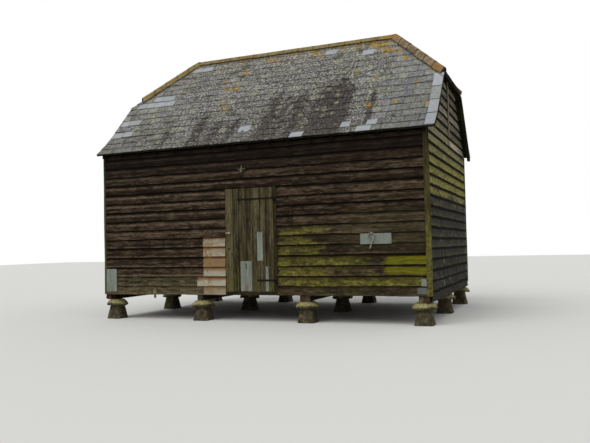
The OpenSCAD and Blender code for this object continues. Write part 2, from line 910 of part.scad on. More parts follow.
// Iron hooks on the jamb strip: a plate, an arm under the strap's eye and a pin
module pintles() {
    plate_x0 = pin_x + eye_r + 6;
    color(iron) for (z = strap_z) {
        eye_foot = z - strap_w / 2 - pin_gap;
        block([plate_x0, -half_w - pintle_plate_t, eye_foot - pintle_plate_h],
            [plate_x0 + 34, -half_w, eye_foot + strap_w]);
        block([pin_x, pin_y - pin_d / 2, eye_foot - pintle_arm_h],
            [plate_x0 + 34, -half_w - pintle_plate_t, eye_foot]);
        translate([pin_x, pin_y, eye_foot - pintle_arm_h])
            cylinder(h = pintle_arm_h, r = pin_d / 2 + 2, $fn = 32);
        translate([pin_x, pin_y, eye_foot - 1])
            cylinder(h = strap_w + pin_gap + 7, r = pin_d / 2, $fn = 32);
    }
}

module door_leaf() {
    color(board_green)
        block([leaf_x0, -half_w, leaf_foot], [leaf_x1, -half_w + plank_t, leaf_top]);
}

// Three ledges behind the planks, clear of the door posts
module door_ledges() {
    side = door_rebate + 25;
    first = frame_z - leaf_foot + 60;
    last = leaf_h - door_rebate - ledge_h - 40;
    color(board_brown) for (i = [0:2])
        let (z = leaf_foot + first + (last - first) * i / 2)
        block([leaf_x0 + side, -half_w + plank_t, z],
            [leaf_x1 - side, -half_w + plank_t + ledge_t, z + ledge_h]);
}

// One strap with the eye that turns on its pin
module strap(z, l) {
    difference() {
        union() {
            block([pin_x - l, -half_w - strap_t, z - strap_w / 2],
                [leaf_x1 - 4, -half_w, z + strap_w / 2]);
            block([leaf_x1 - 30, pin_y - 4, z - strap_w / 2],
                [pin_x, -half_w - strap_t + 1, z + strap_w / 2]);
            translate([pin_x, pin_y, z - strap_w / 2]) cylinder(h = strap_w, r = eye_r, $fn = 48);
        }
        translate([pin_x, pin_y, z - strap_w])
            cylinder(h = 2 * strap_w, r = pin_d / 2 + pin_gap, $fn = 48);
    }
}

module strap_hinges() {
    color(iron) for (i = [0, 1]) strap(strap_z[i], strap_l[i]);
}

module latch_plate() {
    z = leaf_foot + latch_z;
    half = strap_w / 2;
    color(zinc) block([leaf_x0 + 4, -half_w - strap_t, z - half],
        [leaf_x0 + 4 + latch_l, -half_w, z + half]);
}

// Zinc sheets on the door's planks: distance from the free edge, height above
// the foot of the leaf, width and height
leaf_patches = [
    [740, 645, 130, 600],
    [345, 8, 265, 640],
    [925, lower_strap_z + strap_w / 2 + 4, 66, 270],
    [925, 10, 66, lower_strap_z - strap_w / 2 - 14]
];

module door_patches() {
    color(zinc) for (p = leaf_patches)
        block([leaf_x0 + p[0], -half_w - zinc_t, leaf_foot + p[1]],
            [leaf_x0 + p[0] + p[2], -half_w, leaf_foot + p[1] + p[3]]);
}

stem_row(-staddle_y);  // staddle_stems_front
stem_row(0);  // staddle_stems_middle
stem_row(staddle_y);  // staddle_stems_back
cap_row(-staddle_y);  // staddle_caps_front
cap_row(0);  // staddle_caps_middle
cap_row(staddle_y);  // staddle_caps_back
cross_beams();
brick_packers();
block_packers();
front_sill();
back_sill();
gable_sills();
floor_joists();
floor_boards();
corner_posts();
door_posts();
door_head();
front_studs_left();
front_studs_right();
back_studs();
gable_studs_left();
gable_studs_right();
wall_plates();
gable_ties();
tie_beams();
queen_struts();
purlins();
collars();
gable_collars();
ridge_board();
hip_rafters();
rafters_front();
rafters_back();
jack_rafters();
sprockets();
verge_boards();
front_wall_left();
front_wall_right();
front_wall_over_door();
back_wall();
left_gable_wall();
right_gable_wall();
corner_boards();
door_jamb_strip();
threshold();
gable_joint_strip();
front_slope();
back_slope();
left_half_hip();
right_half_hip();
ridge_tiles();
hip_tiles();
wall_patches();
wall_ironwork();
pintles();
door_leaf();
door_ledges();
strap_hinges();
latch_plate();
door_patches();
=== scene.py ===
"""Raised granary: single boards, slates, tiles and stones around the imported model.

Metres. +X runs along the front, the door faces -Y and +Z is up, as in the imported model.
"""

import bpy
import numpy as np
from mathutils import Matrix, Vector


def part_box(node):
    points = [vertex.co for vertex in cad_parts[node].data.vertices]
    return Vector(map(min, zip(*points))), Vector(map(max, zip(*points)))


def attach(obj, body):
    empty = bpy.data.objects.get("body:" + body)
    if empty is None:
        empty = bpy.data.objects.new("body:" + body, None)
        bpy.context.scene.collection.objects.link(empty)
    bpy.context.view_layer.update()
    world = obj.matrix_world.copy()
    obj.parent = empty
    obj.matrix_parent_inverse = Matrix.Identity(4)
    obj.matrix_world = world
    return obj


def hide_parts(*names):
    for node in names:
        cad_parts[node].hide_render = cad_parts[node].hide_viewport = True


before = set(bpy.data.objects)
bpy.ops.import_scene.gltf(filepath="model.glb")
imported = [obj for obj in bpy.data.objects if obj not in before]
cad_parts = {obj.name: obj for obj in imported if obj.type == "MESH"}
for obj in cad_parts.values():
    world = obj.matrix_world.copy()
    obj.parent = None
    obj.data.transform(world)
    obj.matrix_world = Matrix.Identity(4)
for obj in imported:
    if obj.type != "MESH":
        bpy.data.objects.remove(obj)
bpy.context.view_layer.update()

# Where the photograph was taken from, and its lens
PHOTO_WIDTH = 590
EYE = (6.0271, -14.8911, 1.5605)
EYE_TURN = 0.3852
EYE_TILT = 0.0375
EYE_ROLL = -0.0230
FOCAL_PIXELS = 657.52
SENSOR = 36.0

# The walls, read from the frame
FRONT_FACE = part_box("front_wall_left")[0].y
FRAME_Y = -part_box("front_wall_left")[1].y
FRAME_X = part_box("right_gable_wall")[0].x
END_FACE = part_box("right_gable_wall")[1].x
BOARD_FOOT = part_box("front_wall_left")[0].z
GABLE_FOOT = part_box("right_gable_wall")[0].z
WALL_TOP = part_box("front_wall_left")[1].z
DOOR_X0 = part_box("front_wall_left")[1].x
STRIP_X1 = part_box("door_jamb_strip")[1].x
DOOR_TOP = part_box("front_wall_over_door")[0].z
LEFT_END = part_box("front_wall_left")[0].x
RIGHT_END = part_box("front_wall_right")[1].x

# The roof: its two lines from the frame, and the pitches that the model was built with
RIDGE_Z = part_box("front_slope")[1].z
RIDGE_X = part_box("ridge_tiles")[1].x
EAVES_Y = -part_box("front_slope")[0].y
VERGE_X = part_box("front_slope")[1].x
HIP_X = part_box("right_half_hip")[1].x
MAIN_SLOPE = np.tan(np.radians(46.5))
EAVES_SLOPE = np.tan(np.radians(37.3))
HIP_SLOPE = np.tan(np.radians(44.2))
KICK_Y = 2.2
KICK_Z = RIDGE_Z - MAIN_SLOPE * KICK_Y
HIP_Z = RIDGE_Z - HIP_SLOPE * (HIP_X - RIDGE_X)
HIP_Y = (RIDGE_Z - HIP_Z) / MAIN_SLOPE
SLATE_DEPTH = 0.065
MAIN_ROWS = 16
HIP_ROWS = 8
# Plan length of one metre down each slope, and the lengths down them
MAIN_LEAN, EAVES_LEAN, HIP_LEAN = 1 / np.hypot(1, [MAIN_SLOPE, EAVES_SLOPE, HIP_SLOPE])
MAIN_LENGTH = KICK_Y / MAIN_LEAN + (EAVES_Y - KICK_Y) / EAVES_LEAN
HIP_LENGTH = (HIP_X - RIDGE_X) / HIP_LEAN
SLATE_GAUGE = MAIN_LENGTH / MAIN_ROWS
# Patches on the front slope, each with its place in plan and its radius: orange lichen,
# round pale crusts, and slates that are dark with damp
GOLD_PLACES = (
    (-2.78, -0.26, 0.13), (-2.95, -0.42, 0.12), (-1.47, -0.75, 0.10), (-1.30, -0.98, 0.10),
    (-1.06, -0.99, 0.18), (-0.98, -0.53, 0.13), (-1.21, -1.37, 0.11), (-1.02, -1.55, 0.11),
    (-1.20, -0.10, 0.12), (-0.43, -0.22, 0.15), (-0.24, -0.34, 0.11), (0.10, -0.12, 0.12),
    (0.68, -0.18, 0.17), (0.87, -0.32, 0.13), (1.40, -0.14, 0.14), (1.75, -0.22, 0.14),
    (2.10, -0.16, 0.22), (2.34, -0.24, 0.27), (2.54, -0.42, 0.22), (2.78, -0.50, 0.14),
    (2.99, -0.72, 0.12), (1.94, -0.98, 0.11), (2.42, -1.18, 0.08), (2.44, -1.87, 0.12),
    (2.42, -2.45, 0.12), (3.36, -1.42, 0.09), (2.99, -1.86, 0.10), (3.62, -1.95, 0.10),
)
CRUST_PLACES = (
    (1.41, -1.34, 0.085), (1.54, -1.22, 0.09), (1.30, -1.52, 0.08), (1.67, -1.52, 0.09),
    (1.47, -2.02, 0.08), (0.12, -1.74, 0.08), (0.51, -1.56, 0.08), (0.36, -1.66, 0.08),
    (0.36, -1.80, 0.07), (1.70, -1.72, 0.07), (1.30, -1.84, 0.06), (1.12, -1.10, 0.08),
)
DAMP_PLACES = (
    (1.35, -0.42, 0.15), (1.92, -0.36, 0.13), (-1.38, -0.50, 0.20), (-1.06, -0.36, 0.16),
    (-1.08, -0.64, 0.14), (-0.78, -1.72, 0.13),
)
# The dark moss by X: how thick it grows, and a third of the depth in plan where it starts
MOSS_BY_X = (
    (-2.50, 0.04), (-2.26, 0.60), (-2.12, 0.14), (-1.64, 0.20), (-1.52, 0.85), (-1.40, 0.78),
    (-1.26, 0.40), (-1.08, 0.42), (-0.98, 0.88), (-0.84, 0.38), (-0.66, 0.40), (-0.56, 0.84),
    (-0.44, 0.28), (-0.02, 0.30), (0.12, 0.80),
    (0.28, 0.84), (0.38, 0.60), (0.52, 0.66), (0.64, 0.46), (0.76, 0.78), (0.92, 0.78),
    (1.02, 0.52), (1.16, 0.62), (1.28, 0.92), (1.50, 0.95), (1.92, 0.95), (2.06, 0.26),
    (2.38, 0.20), (2.47, 0.85), (2.54, 0.85), (2.62, 0.15), (2.80, 0.05),
)
MOSS_TOPS = (
    (-2.24, 0.62), (-1.46, 0.54), (-0.99, 0.60), (-0.56, 0.60), (-0.04, 0.52), (0.12, 0.44),
    (0.50, 0.44), (0.83, 0.46), (1.32, 0.40), (1.70, 0.34), (2.10, 0.44), (2.49, 0.50),
)
RAMP_REACH = 4.0


def main_height(y):
    """Height of a main slope's top at a depth y, without the roof's ends."""
    depth = np.abs(y)
    return np.where(depth < KICK_Y, RIDGE_Z - MAIN_SLOPE * depth,
                    KICK_Z - EAVES_SLOPE * (depth - KICK_Y))


def on_slope(places):
    """The places on the front slope with their heights."""
    return [(x, y, float(main_height(y)), radius) for x, y, radius in places]


def place_camera():
    """Turns the camera by EYE_TURN to the left, tilts it up and rolls it, in that order."""
    turn, tilt, roll = EYE_TURN, EYE_TILT, EYE_ROLL
    ahead = np.array([-np.sin(turn) * np.cos(tilt), np.cos(turn) * np.cos(tilt), np.sin(tilt)])
    level = np.array([np.cos(turn), np.sin(turn), 0.0])
    over = np.cross(level, ahead)
    right = np.cos(roll) * level + np.sin(roll) * over
    up = -np.sin(roll) * level + np.cos(roll) * over
    data = bpy.data.cameras.new("eye")
    data.sensor_width = SENSOR
    data.lens = FOCAL_PIXELS / PHOTO_WIDTH * SENSOR
    camera = bpy.data.objects.new("eye", data)
    turned = Matrix(np.column_stack([right, up, -ahead]).tolist()).to_4x4()
    camera.matrix_world = Matrix.Translation(EYE) @ turned
    bpy.context.scene.collection.objects.link(camera)
    bpy.context.scene.camera = camera


def colour(code):
    """Colour of a hex code, from the screen's scale to the linear one."""
    part = np.array([int(code[i:i + 2], 16) for i in (1, 3, 5)]) / 255
    straight = np.where(part < 0.04045, part / 12.92, ((part + 0.055) / 1.055) ** 2.4)
    return (*straight.tolist(), 1.0)


# Small helpers that put shader nodes together


def put(tree, kind, inputs, **settings):
    """Adds a node, makes its settings, and sets or joins its inputs by name or number. A
    hex code stands for its colour."""
    node = tree.nodes.new(kind)
    for key, value in settings.items():
        setattr(node, key, value)
    for key, value in inputs.items():
        if isinstance(value, Value):
            tree.links.new(value.socket, node.inputs[key])
        else:
            node.inputs[key].default_value = colour(value) if isinstance(value, str) else value
    return node


def made(kind, inputs, output=0, tree=None, **settings):
    """What a new node puts out, in the tree that its inputs come from or in a given one."""
    tree = tree or next(value.tree for value in inputs.values() if isinstance(value, Value))
    return Value(tree, put(tree, kind, inputs, **settings).outputs[output])


def sums(operation):
    """A method that puts one sum on a value, and on a second one, into their tree."""
    return lambda first, second=0.0: made("ShaderNodeMath", {0: first, 1: second}, operation=operation)


class Value:
    """What a shader node puts out. Sums on it are nodes: a | b is the larger of two values,
    a & b the smaller, a < b is 1 where a is under b, and fract is what is over a whole number."""

    __add__ = sums("ADD")
    __sub__ = sums("SUBTRACT")
    __mul__ = sums("MULTIPLY")
    __or__ = sums("MAXIMUM")
    __and__ = sums("MINIMUM")
    __lt__ = sums("LESS_THAN")
    __abs__ = sums("ABSOLUTE")
    fract = sums("FRACT")

    def __init__(self, tree, socket):
        self.tree = tree
        self.socket = socket


def laid(shade, *layers, blend="MIX"):
    """The shade with colours laid on it in turn, each where the mask before it is 1."""
    for mask, over in zip(layers[::2], layers[1::2]):
        inputs = {0: mask, 6: shade, 7: over}
        shade = made("ShaderNodeMix", inputs, 2, data_type="RGBA", blend_type=blend)
    return shade


def ramped(value, *stops):
    """A ramp through the stops, each a place from 0 to 1 and a hex code or a grey."""
    node = put(value.tree, "ShaderNodeValToRGB", {0: value})
    points = node.color_ramp.elements
    while len(points) < len(stops):
        points.new(0.5)
    for point, (place, shade) in zip(points, stops):
        point.position = place
        point.color = colour(shade) if isinstance(shade, str) else (shade, shade, shade, 1.0)
    return Value(value.tree, node.outputs[0])


def eased(value, low, high, start=0.0, end=1.0):
    """Runs smoothly from start to end as the value goes from low to high."""
    inputs = {0: value, 1: low, 2: high, 3: start, 4: end}
    return made("ShaderNodeMapRange", inputs, interpolation_type="SMOOTHSTEP")


def window(value, low, high, soft):
    """1 between low and high, fading to 0 over a soft edge on both sides."""
    return eased(value, low - soft, low + soft) * eased(value, high - soft, high + soft, 1.0, 0.0)


def stretched(vector, scale=(1, 1, 1), shift=(0, 0, 0), turn=(0, 0, 0)):
    """The vector scaled, turned and shifted by a Mapping node."""
    inputs = {"Vector": vector, "Scale": scale, "Location": shift, "Rotation": turn}
    return made("ShaderNodeMapping", inputs)


def parts_of(vector):
    """X, Y and Z of a vector."""
    node = put(vector.tree, "ShaderNodeSeparateXYZ", {0: vector})
    return [Value(vector.tree, socket) for socket in node.outputs]


def cloudy(vector, scale, detail=4.0, rough=0.6, output=0):
    """Fractal noise, about 0.5 in the middle."""
    inputs = {"Vector": vector, "Scale": scale, "Detail": detail, "Roughness": rough}
    return made("ShaderNodeTexNoise", inputs, output)


def new_group(name, **inputs):
    """An empty shader group with its named inputs, whose values are handed on."""
    tree = bpy.data.node_groups.new(name, "ShaderNodeTree")
    for label, value in inputs.items():
        kind = "NodeSocketFloat" if isinstance(value, float) else "NodeSocketVector"
        made_socket = tree.interface.new_socket(name=label, in_out="INPUT", socket_type=kind)
        made_socket.default_value = value
    given = tree.nodes.new("NodeGroupInput")
    return [Value(tree, given.outputs[label]) for label in inputs]


def group_of(**outputs):
    """Ends a shader group: each value is put out under its name."""
    tree = next(iter(outputs.values())).tree
    for label in outputs:
        tree.interface.new_socket(name=label, in_out="OUTPUT", socket_type="NodeSocketFloat")
    put(tree, "NodeGroupOutput", outputs)
    return tree


def make_grain():
    """Weathered grain: broad streaks, fine lines and cracks, all drawn out along X."""
    lay, = new_group("weathered_grain", Lay=(0, 0, 0))
    broad = cloudy(stretched(lay, (2.4, 19, 19)), 1.0, 6.0, 0.7)
    fine = cloudy(stretched(lay, (8.0, 110, 110)), 1.0, 3.0)
    patch = cloudy(stretched(lay, (3.2, 6, 6), (3, 1, 2)), 1.0, 4.0, 0.65)
    crack_line = cloudy(stretched(lay, (1.1, 55, 55), (7, 5, 1)), 1.0, 2.0, 0.5)
    crack = eased(abs(crack_line - 0.5), 0.0, 0.03)
    spread = eased(broad * 0.85 + fine * 0.75 + patch * 0.35, 0.70, 1.26)
    return group_of(Streak=spread * (crack * 0.45 + 0.55), Height=fine * 0.5 + crack)


def make_growth():
    """Patches of algae, moss or lichen: cloudy noise cut at a level set by Cover."""
    place, scale, cover, soft = new_group(
        "growth", Place=(0, 0, 0), Scale=1.0, Cover=0.5, Soft=0.08)
    level = cover * -0.5 + 0.75
    return group_of(Mask=eased(cloudy(place, scale, 6.0, 0.68), level - soft, level + soft))


GRAIN = make_grain()
GROWTH = make_growth()


def grow(place, scale, cover, soft=0.08):
    """Mask of one growth: cover is a value from 0 to 1, or a mask itself."""
    inputs = {"Place": place, "Scale": scale, "Cover": cover, "Soft": soft}
    return made("ShaderNodeGroup", inputs, "Mask", node_tree=GROWTH)


def rosettes(place, scale, share, size):
    """Round crusts with ragged edges: a share of a Voronoi pattern's cells carries one."""
    cells = put(place.tree, "ShaderNodeTexVoronoi", {"Vector": place, "Scale": scale}).outputs
    chosen = parts_of(Value(place.tree, cells["Color"]))[0] < share
    ragged = cloudy(place, scale * 4) * 0.35 + Value(place.tree, cells["Distance"])
    return chosen * eased(ragged, size + 0.1, size + 0.2, 1.0, 0.0)


def spots_at(place, spots):
    """Soft round masks about given points, each with its own radius."""
    found = None
    for x, y, z, radius in spots:
        ends = {0: place, 1: (x, y, z)}
        far = made("ShaderNodeVectorMath", ends, "Value", operation="DISTANCE")
        spot = eased(far, radius * 0.2, radius * 1.15, 1.0, 0.0)
        found = found | spot if found else spot
    return found


def along_x(x, values):
    """A value that runs straight from one to the next of the given ones, each at its X."""
    stops = [((at + RAMP_REACH) / (2 * RAMP_REACH), value) for at, value in values]
    return ramped(x * (0.5 / RAMP_REACH) + 0.5, *stops)


def frayed(place, scale, size):
    """The place moved about by noise, up to half the size each way, so round masks fray."""
    noise = cloudy(place, scale, 5.0, 0.5, "Color")
    inputs = {0: noise, 1: (size,) * 3, 2: stretched(place, shift=(-size / 2,) * 3)}
    return made("ShaderNodeVectorMath", inputs, operation="MULTIPLY_ADD")


def new_finish(name, roughness=0.85, metallic=0.0, shine=0.12):
    """A material with its Principled shader, and the object's own coordinates."""
    material = bpy.data.materials.new(name)
    material.use_nodes = True
    shader = material.node_tree.nodes["Principled BSDF"]
    shader.inputs["Roughness"].default_value = roughness
    shader.inputs["Specular IOR Level"].default_value = shine
    shader.inputs["Metallic"].default_value = metallic
    return material, made("ShaderNodeTexCoord", {}, "Object", material.node_tree)


def attribute(place, name, output="Fac"):
    """A value or vector kept on the mesh."""
    return made("ShaderNodeAttribute", {}, output, place.tree, attribute_name=name)


def finished(material, shade, height, depth):
    """Gives a material its colour, and bumps depth metres deep at a height of 1."""
    shader = material.node_tree.nodes["Principled BSDF"]
    bump = made("ShaderNodeBump", {"Height": height, "Strength": 0.8, "Distance": depth})
    material.node_tree.links.new(shade.socket, shader.inputs["Base Color"])
    material.node_tree.links.new(bump.socket, shader.inputs["Normal"])
    return material


def wood_finish(name, dark, middle, light, growths=(), along=None, depth=0.004):
    """Weathered wood. Boards carry their own lay and tone; along turns the grain of a
    timber of the frame. Each growth is a function that lays its colours on the wood."""
    material, place = new_finish(name, shine=0.04)
    if along is None:
        lay = attribute(place, "lay", "Vector")
        tone = attribute(place, "tone")
    else:
        lay = stretched(place, turn=along)
        tone = cloudy(place, 0.7, 2.0)
    grain = put(place.tree, "ShaderNodeGroup", {"Lay": lay}, node_tree=GRAIN).outputs
    streak, height = [Value(place.tree, grain[name]) for name in ("Streak", "Height")]
    shade = ramped(streak * 0.72 + tone * 0.34, (0.05, dark), (0.5, middle), (1.0, light))
    for growth in growths:
        shade = growth(place, shade, lay)
    return finished(material, shade, height, depth)


# Front wall, as X or as heights: where algae starts right of the door, its upper and lower
# courses, the top of its thickest one, the damp first course, the two with bright ends and
# where those start, and the thin film above. Then the worn foot on the left and the painted
# shade under the eaves
ALGAE_FROM = (0.5, 0.7)
HIGH_COURSES = (1.40, 2.0)
LOW_COURSES = (0.74, 1.40)
THICK_UNDER = (1.01, 0.95)
DAMP_FOOT = (0.77, 0.72)
BRIGHT_COURSES = (0.985, 1.375)
BRIGHT_FROM = (3.00, 3.22)
FILM_COURSES = (1.45, 2.25)
FILM_FROM = (1.8, 2.4)
WORN_FOOT = (1.03, 0.96)
EAVES_SHADOW = (2.9, 3.5)


def front_growths(place, shade, lay):
    """Algae right of the door: olive over the lower courses, thicker near the door and on
    the second course, and bright on the ends of two boards. The painted lap shadows stay dark."""
    x, _, z = parts_of(place)
    up = parts_of(lay)[1]
    right = eased(x, *ALGAE_FROM)
    high = window(z, *HIGH_COURSES, 0.08) * eased(x, 2.3, 1.3)
    near = eased(x, 3.0, 1.4, 0.4, 1.0) | eased(z, *THICK_UNDER)
    low = window(z, *LOW_COURSES, 0.05) * near
    cover = (low * 0.66 + high * 0.54 + eased(z, *DAMP_FOOT, 0.0, 0.27)) * right
    drawn = stretched(place, (1.0, 1.0, 2.6))
    mask = grow(drawn, 3.0, cover, 0.12) * eased(cover, 0.02, 0.2)
    mask *= window(up, 0.006, 0.178, 0.006) * eased(up, 0.160, 0.065, 0.30, 0.80)
    blotch = cloudy(stretched(lay, (7.0, 16, 30)), 1.0, 6.0, 0.75)
    olive = ramped(blotch, (0.36, "#3a3615"), (0.52, "#68642c"), (0.64, "#959040"))
    dim = eased(z, *DAMP_FOOT, 0.0, 0.7)
    damp = eased(up, 0.09, 0.15, 0.0, 0.4) * eased(cover, 0.1, 0.4)
    ends = eased(cloudy(drawn, 5.0) * 0.5 + x, *BRIGHT_FROM) * window(z, *BRIGHT_COURSES, 0.01)
    ends *= window(up, 0.006, 0.158, 0.012)
    streak = cloudy(stretched(lay, (2.0, 30, 30)), 1.0)
    bright = ramped(streak, (0.35, "#4a470f"), (0.6, "#74711a"))
    film = eased(x, *FILM_FROM) * window(z, *FILM_COURSES, 0.12) * grow(drawn, 4.0, 0.62, 0.2)
    spots = grow(place, 14.0, eased(z, 2.6, 1.2) * 0.22, 0.03)
    return laid(shade, damp, "#2a2214", dim * right * 0.35, "#232110",
                mask, laid(olive, dim, "#332e17"), ends * 0.88, bright,
                film * 0.4, "#46432c", spots * 0.4, "#5c5a33")


def eaves_shade(place, shade, lay):
    """Painted shade keeps the boards dark brown under the eaves; they go grey at the left foot."""
    x, _, z = parts_of(place)
    grey = eased(z, *WORN_FOOT) * eased(x, 0.0, -1.2) * 0.42
    worn = grow(stretched(lay, (1.5, 24, 24)), 1.0, 0.55, 0.1)
    scuffs = grow(stretched(lay, (5.0, 55, 0)), 1.0, 0.34, 0.03)
    return laid(shade, eased(z, *EAVES_SHADOW, 0.0, 0.78), "#120e0c",
                worn * grey, "#5c573c", scuffs * grey, "#918b72")


def wavy_height(lay):
    """Height over a board's foot, made to wander a little along the board."""
    return cloudy(stretched(lay, (3, 0, 9)), 1.0) * 0.03 + parts_of(lay)[1]


def lap_shade_and_wear(place, shade, lay):
    """High on the wall each board is palest a little below the lap above it, low on the
    wall along its foot. Painted shadow makes it dark below the lap above it and under its foot."""
    x, _, z = parts_of(place)
    wavy = wavy_height(lay)
    left = eased(x, 0.7, -0.7)
    dull = eased(wavy, 0.135, 0.085) * eased(z, 2.2, 2.7, 0.0, 0.22) * left
    below_lap = window(wavy, 0.122, 0.160, 0.016) * eased(z, 1.4, 2.2, 0.14, 1.0)
    foot = window(wavy, 0.022, 0.055, 0.012) * eased(z, 1.9, 1.5, 0.0, 0.9)
    worn = (below_lap | foot) * grow(stretched(lay, (5, 0, 3)), 1.0, 0.56, 0.14)
    # Painted shadow: dark under each board's foot and below the lap above it
    under = eased(parts_of(lay)[1], 0.002, 0.013, 0.92, 0.0)
    return laid(shade, dull, "#1c1611", worn * (left * 0.24 + 0.18), "#857461",
                under | eased(wavy, 0.174, 0.202, 0.0, 0.92), "#0d0b09")


# White runs on the right gable: depth, height and half width of each, and how much they are
# drawn out downwards
GABLE_RUNS = (
    (-1.05, 1.21, 0.035), (-1.86, 0.84, 0.030), (-1.33, 0.83, 0.030), (-1.07, 0.73, 0.035),
    (-0.34, 0.81, 0.035), (-1.32, 1.65, 0.035), (2.35, 1.31, 0.06), (2.48, 0.80, 0.07),
    (2.48, 0.60, 0.05),
)
RUN_STRETCH = 0.4
# Gable, as heights or as Y: the olive's edge, the tar's, the bare boards over it, the dry
# ones at the top, the one newer board, and the grey end at the back
OLIVE_EDGE = (2.40, 2.75)
TAR_EDGE = (2.62, 2.40)
BARE_OVER = (3.55, 3.75)
BARE_BEHIND = (-0.3, 0.1)
DRY_OVER = (3.2, 3.9)
NEWER_FOOT = (3.68, 3.77)
NEWER_ENDS = (0.22, 2.3)
GREY_END = (2.1, 2.3)
GREY_UNDER = (2.6, 2.4)


def gable_growths(place, shade, lay):
    """The gable: yellow-green above, dark and tarred below, with white streaks. Between
    the two, algae keeps to the boards' feet."""
    _, y, z = parts_of(place)
    up = parts_of(lay)[1]
    ragged = cloudy(stretched(place, (1, 0.6, 1)), 1.8, 5.0, 0.7)
    edge = (ragged - 0.5) * 1.5 + z + 0.07
    bare = eased(z, *BARE_OVER) * eased(y, *BARE_BEHIND) | eased(y * 0.12 + z, 3.7, 4.3)
    drawn = stretched(place, (1.0, 0.9, 1.8))
    mask = grow(drawn, 3.0, bare * -0.50 + 0.68, 0.12) * eased(edge, *OLIVE_EDGE)
    green = ramped(cloudy(drawn, 11.0), (0.35, "#4e4b20"), (0.62, "#a9a657"))
    stain = grow(stretched(place, (1, 2.6, 0.8), (1, 4, 2)), 4.0, 0.52, 0.14)
    stain *= eased(up, 0.07, 0.16, 0.0, 0.62)
    tar = eased(edge, *TAR_EDGE) * 0.85
    bluish = cloudy(stretched(place, (1, 5, 1.2)), 3.0)
    feet = eased(up, 0.095, 0.03) * eased(z, 0.7, 1.5) * eased(edge, 2.7, 2.5)
    feet *= grow(drawn, 3.4, 0.52, 0.12)
    smudge = grow(stretched(place, (1, 2.2, 0.9), (3, 0, 5)), 3.0, 0.40, 0.14) * tar
    runs = rosettes(stretched(place, (1, 1, 0.25)), 8.0, 0.4, 0.2)
    runs *= eased(z, 2.5, 1.5) * grow(place, 16.0, 0.5, 0.08)
    drops = [(0.0, at, height * RUN_STRETCH, radius) for at, height, radius in GABLE_RUNS]
    runs |= spots_at(stretched(place, (0.0, 1.0, RUN_STRETCH)), drops)
    fibres = cloudy(stretched(lay, (2.5, 34, 30)), 1.0, 6.0, 0.75)
    dry = ramped(attribute(place, "tone") * 0.30 + fibres, (0.46, "#3f3d38"), (0.64, "#77715f"),
                 (0.84, "#b9b29c"))
    newer = window(z - up, *NEWER_FOOT, 0.01) * window(y, *NEWER_ENDS, 0.01)
    newer *= eased(y, 0.8, 2.2, 0.85, 0.25)
    grey = eased(y, *GREY_END) * eased(z, *GREY_UNDER) * grow(place, 4.0, 0.42, 0.1)
    return laid(shade, mask * 0.85, green, stain, "#38331f",
                tar, ramped(bluish, (0.35, "#0b0d0d"), (0.65, "#313433")),
                feet * 0.7, "#565429", smudge * 0.7, "#4f4940", runs * 0.85, "#a3a39b",
                eased(z, *DRY_OVER, 0.0, 0.58), dry, newer, "#b3aa8e", grey * 0.6, "#7d7663")


def deep_lap_shadows(place, shade, lay):
    """The gable's boards stand out more, so the painted shadows of their laps are darker and broader.
    """
    under = eased(parts_of(lay)[1], 0.002, 0.012, 0.95, 0.0)
    return laid(shade, under | eased(wavy_height(lay), 0.154, 0.178, 0.0, 0.97), "#060503")


def moss_over(dark, light, scale, cover, strength=0.85):
    """A growth of one colour all over, with its own scale and cover."""
    def lay_on(place, shade, lay):
        green = ramped(cloudy(place, scale * 3), (0.3, dark), (0.7, light))
        return laid(shade, grow(place, scale, cover, 0.12) * strength, green)
    return lay_on


def trim_algae_and_eaves_shade(place, shade, lay):
    """Algae on upright trim: none under the eaves, thick below, and greener round the left
    corner. Painted shade darkens the trim under the eaves."""
    x, _, z = parts_of(place)
    mask = grow(stretched(place, (4, 4, 1.0)), 4.0, eased(z, 3.0, 1.4, 0.0, 0.62), 0.12)
    green = ramped(cloudy(place, 16.0), (0.35, "#45421c"), (0.65, "#7b7839"))
    left = eased(x, -3.6, -3.7, 0.0, 0.85) * grow(stretched(place, (1, 1, 0.5)), 3.0, 0.8, 0.2)
    return laid(shade, mask * 0.8, green, left, "#3c4a29",
                eased(z, 2.9, 3.6, 0.0, 0.6), "#15110c")


# The door's planks, as shares of its width from the free edge, and their small dark holes,
# each with its radius
PLANK_SHARES = np.array([0.165, 0.115, 0.16, 0.135, 0.15, 0.13, 0.145])
DOOR_HOLES = ((-0.520, FRONT_FACE, 1.533, 0.030), (-0.451, FRONT_FACE, 1.426, 0.026),
              (-0.220, FRONT_FACE, 1.930, 0.016))


def plank_edges():
    """Edges of the door's planks, from the free edge to the hinges."""
    low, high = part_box("door_leaf")
    return low.x + (high.x - low.x) * np.concatenate([[0], np.cumsum(PLANK_SHARES)])


def door_growths(place, shade, lay):
    """Algae on the door: at its foot and along its free edge. The gaps between its planks
    are dark, and so are a few holes."""
    x, _, z = parts_of(place)
    cover = (eased(z, 1.5, 0.65) + eased(x, -0.3, -0.6)) * 0.22 + 0.24
    mask = grow(stretched(place, (5.0, 1.0, 0.7)), 3.5, cover, 0.16)
    green = ramped(cloudy(lay, 9.0), (0.3, "#3f3c1a"), (0.7, "#6a6634"))
    threads = cloudy(stretched(place, (26.0, 1.0, 0.8)), 1.0, 3.0)
    gaps = spots_at(place, DOOR_HOLES)
    for edge in plank_edges()[1:-1].tolist():
        gaps |= window(x, edge - 0.006, edge + 0.006, 0.004) * 0.85
    return laid(shade, mask * 0.65, green, eased(threads, 0.50, 0.62, 0.0, 0.45), "#67604a",
                eased(threads, 0.46, 0.36, 0.0, 0.45), "#18140d", gaps * 0.95, "#080604")


# Newer boards, as heights: the fourth, which is browner, the first, which is stained, and the
# second and third, which are palest. Then where the bare left ends of all of them start, as X
BROWN_COURSE = (1.147, 1.36)
STAINED_COURSE = (0.735, 0.725)
PALE_COURSES = (0.74, 1.14)
LEFT_OF_BOARDS = (-0.85, -0.95)


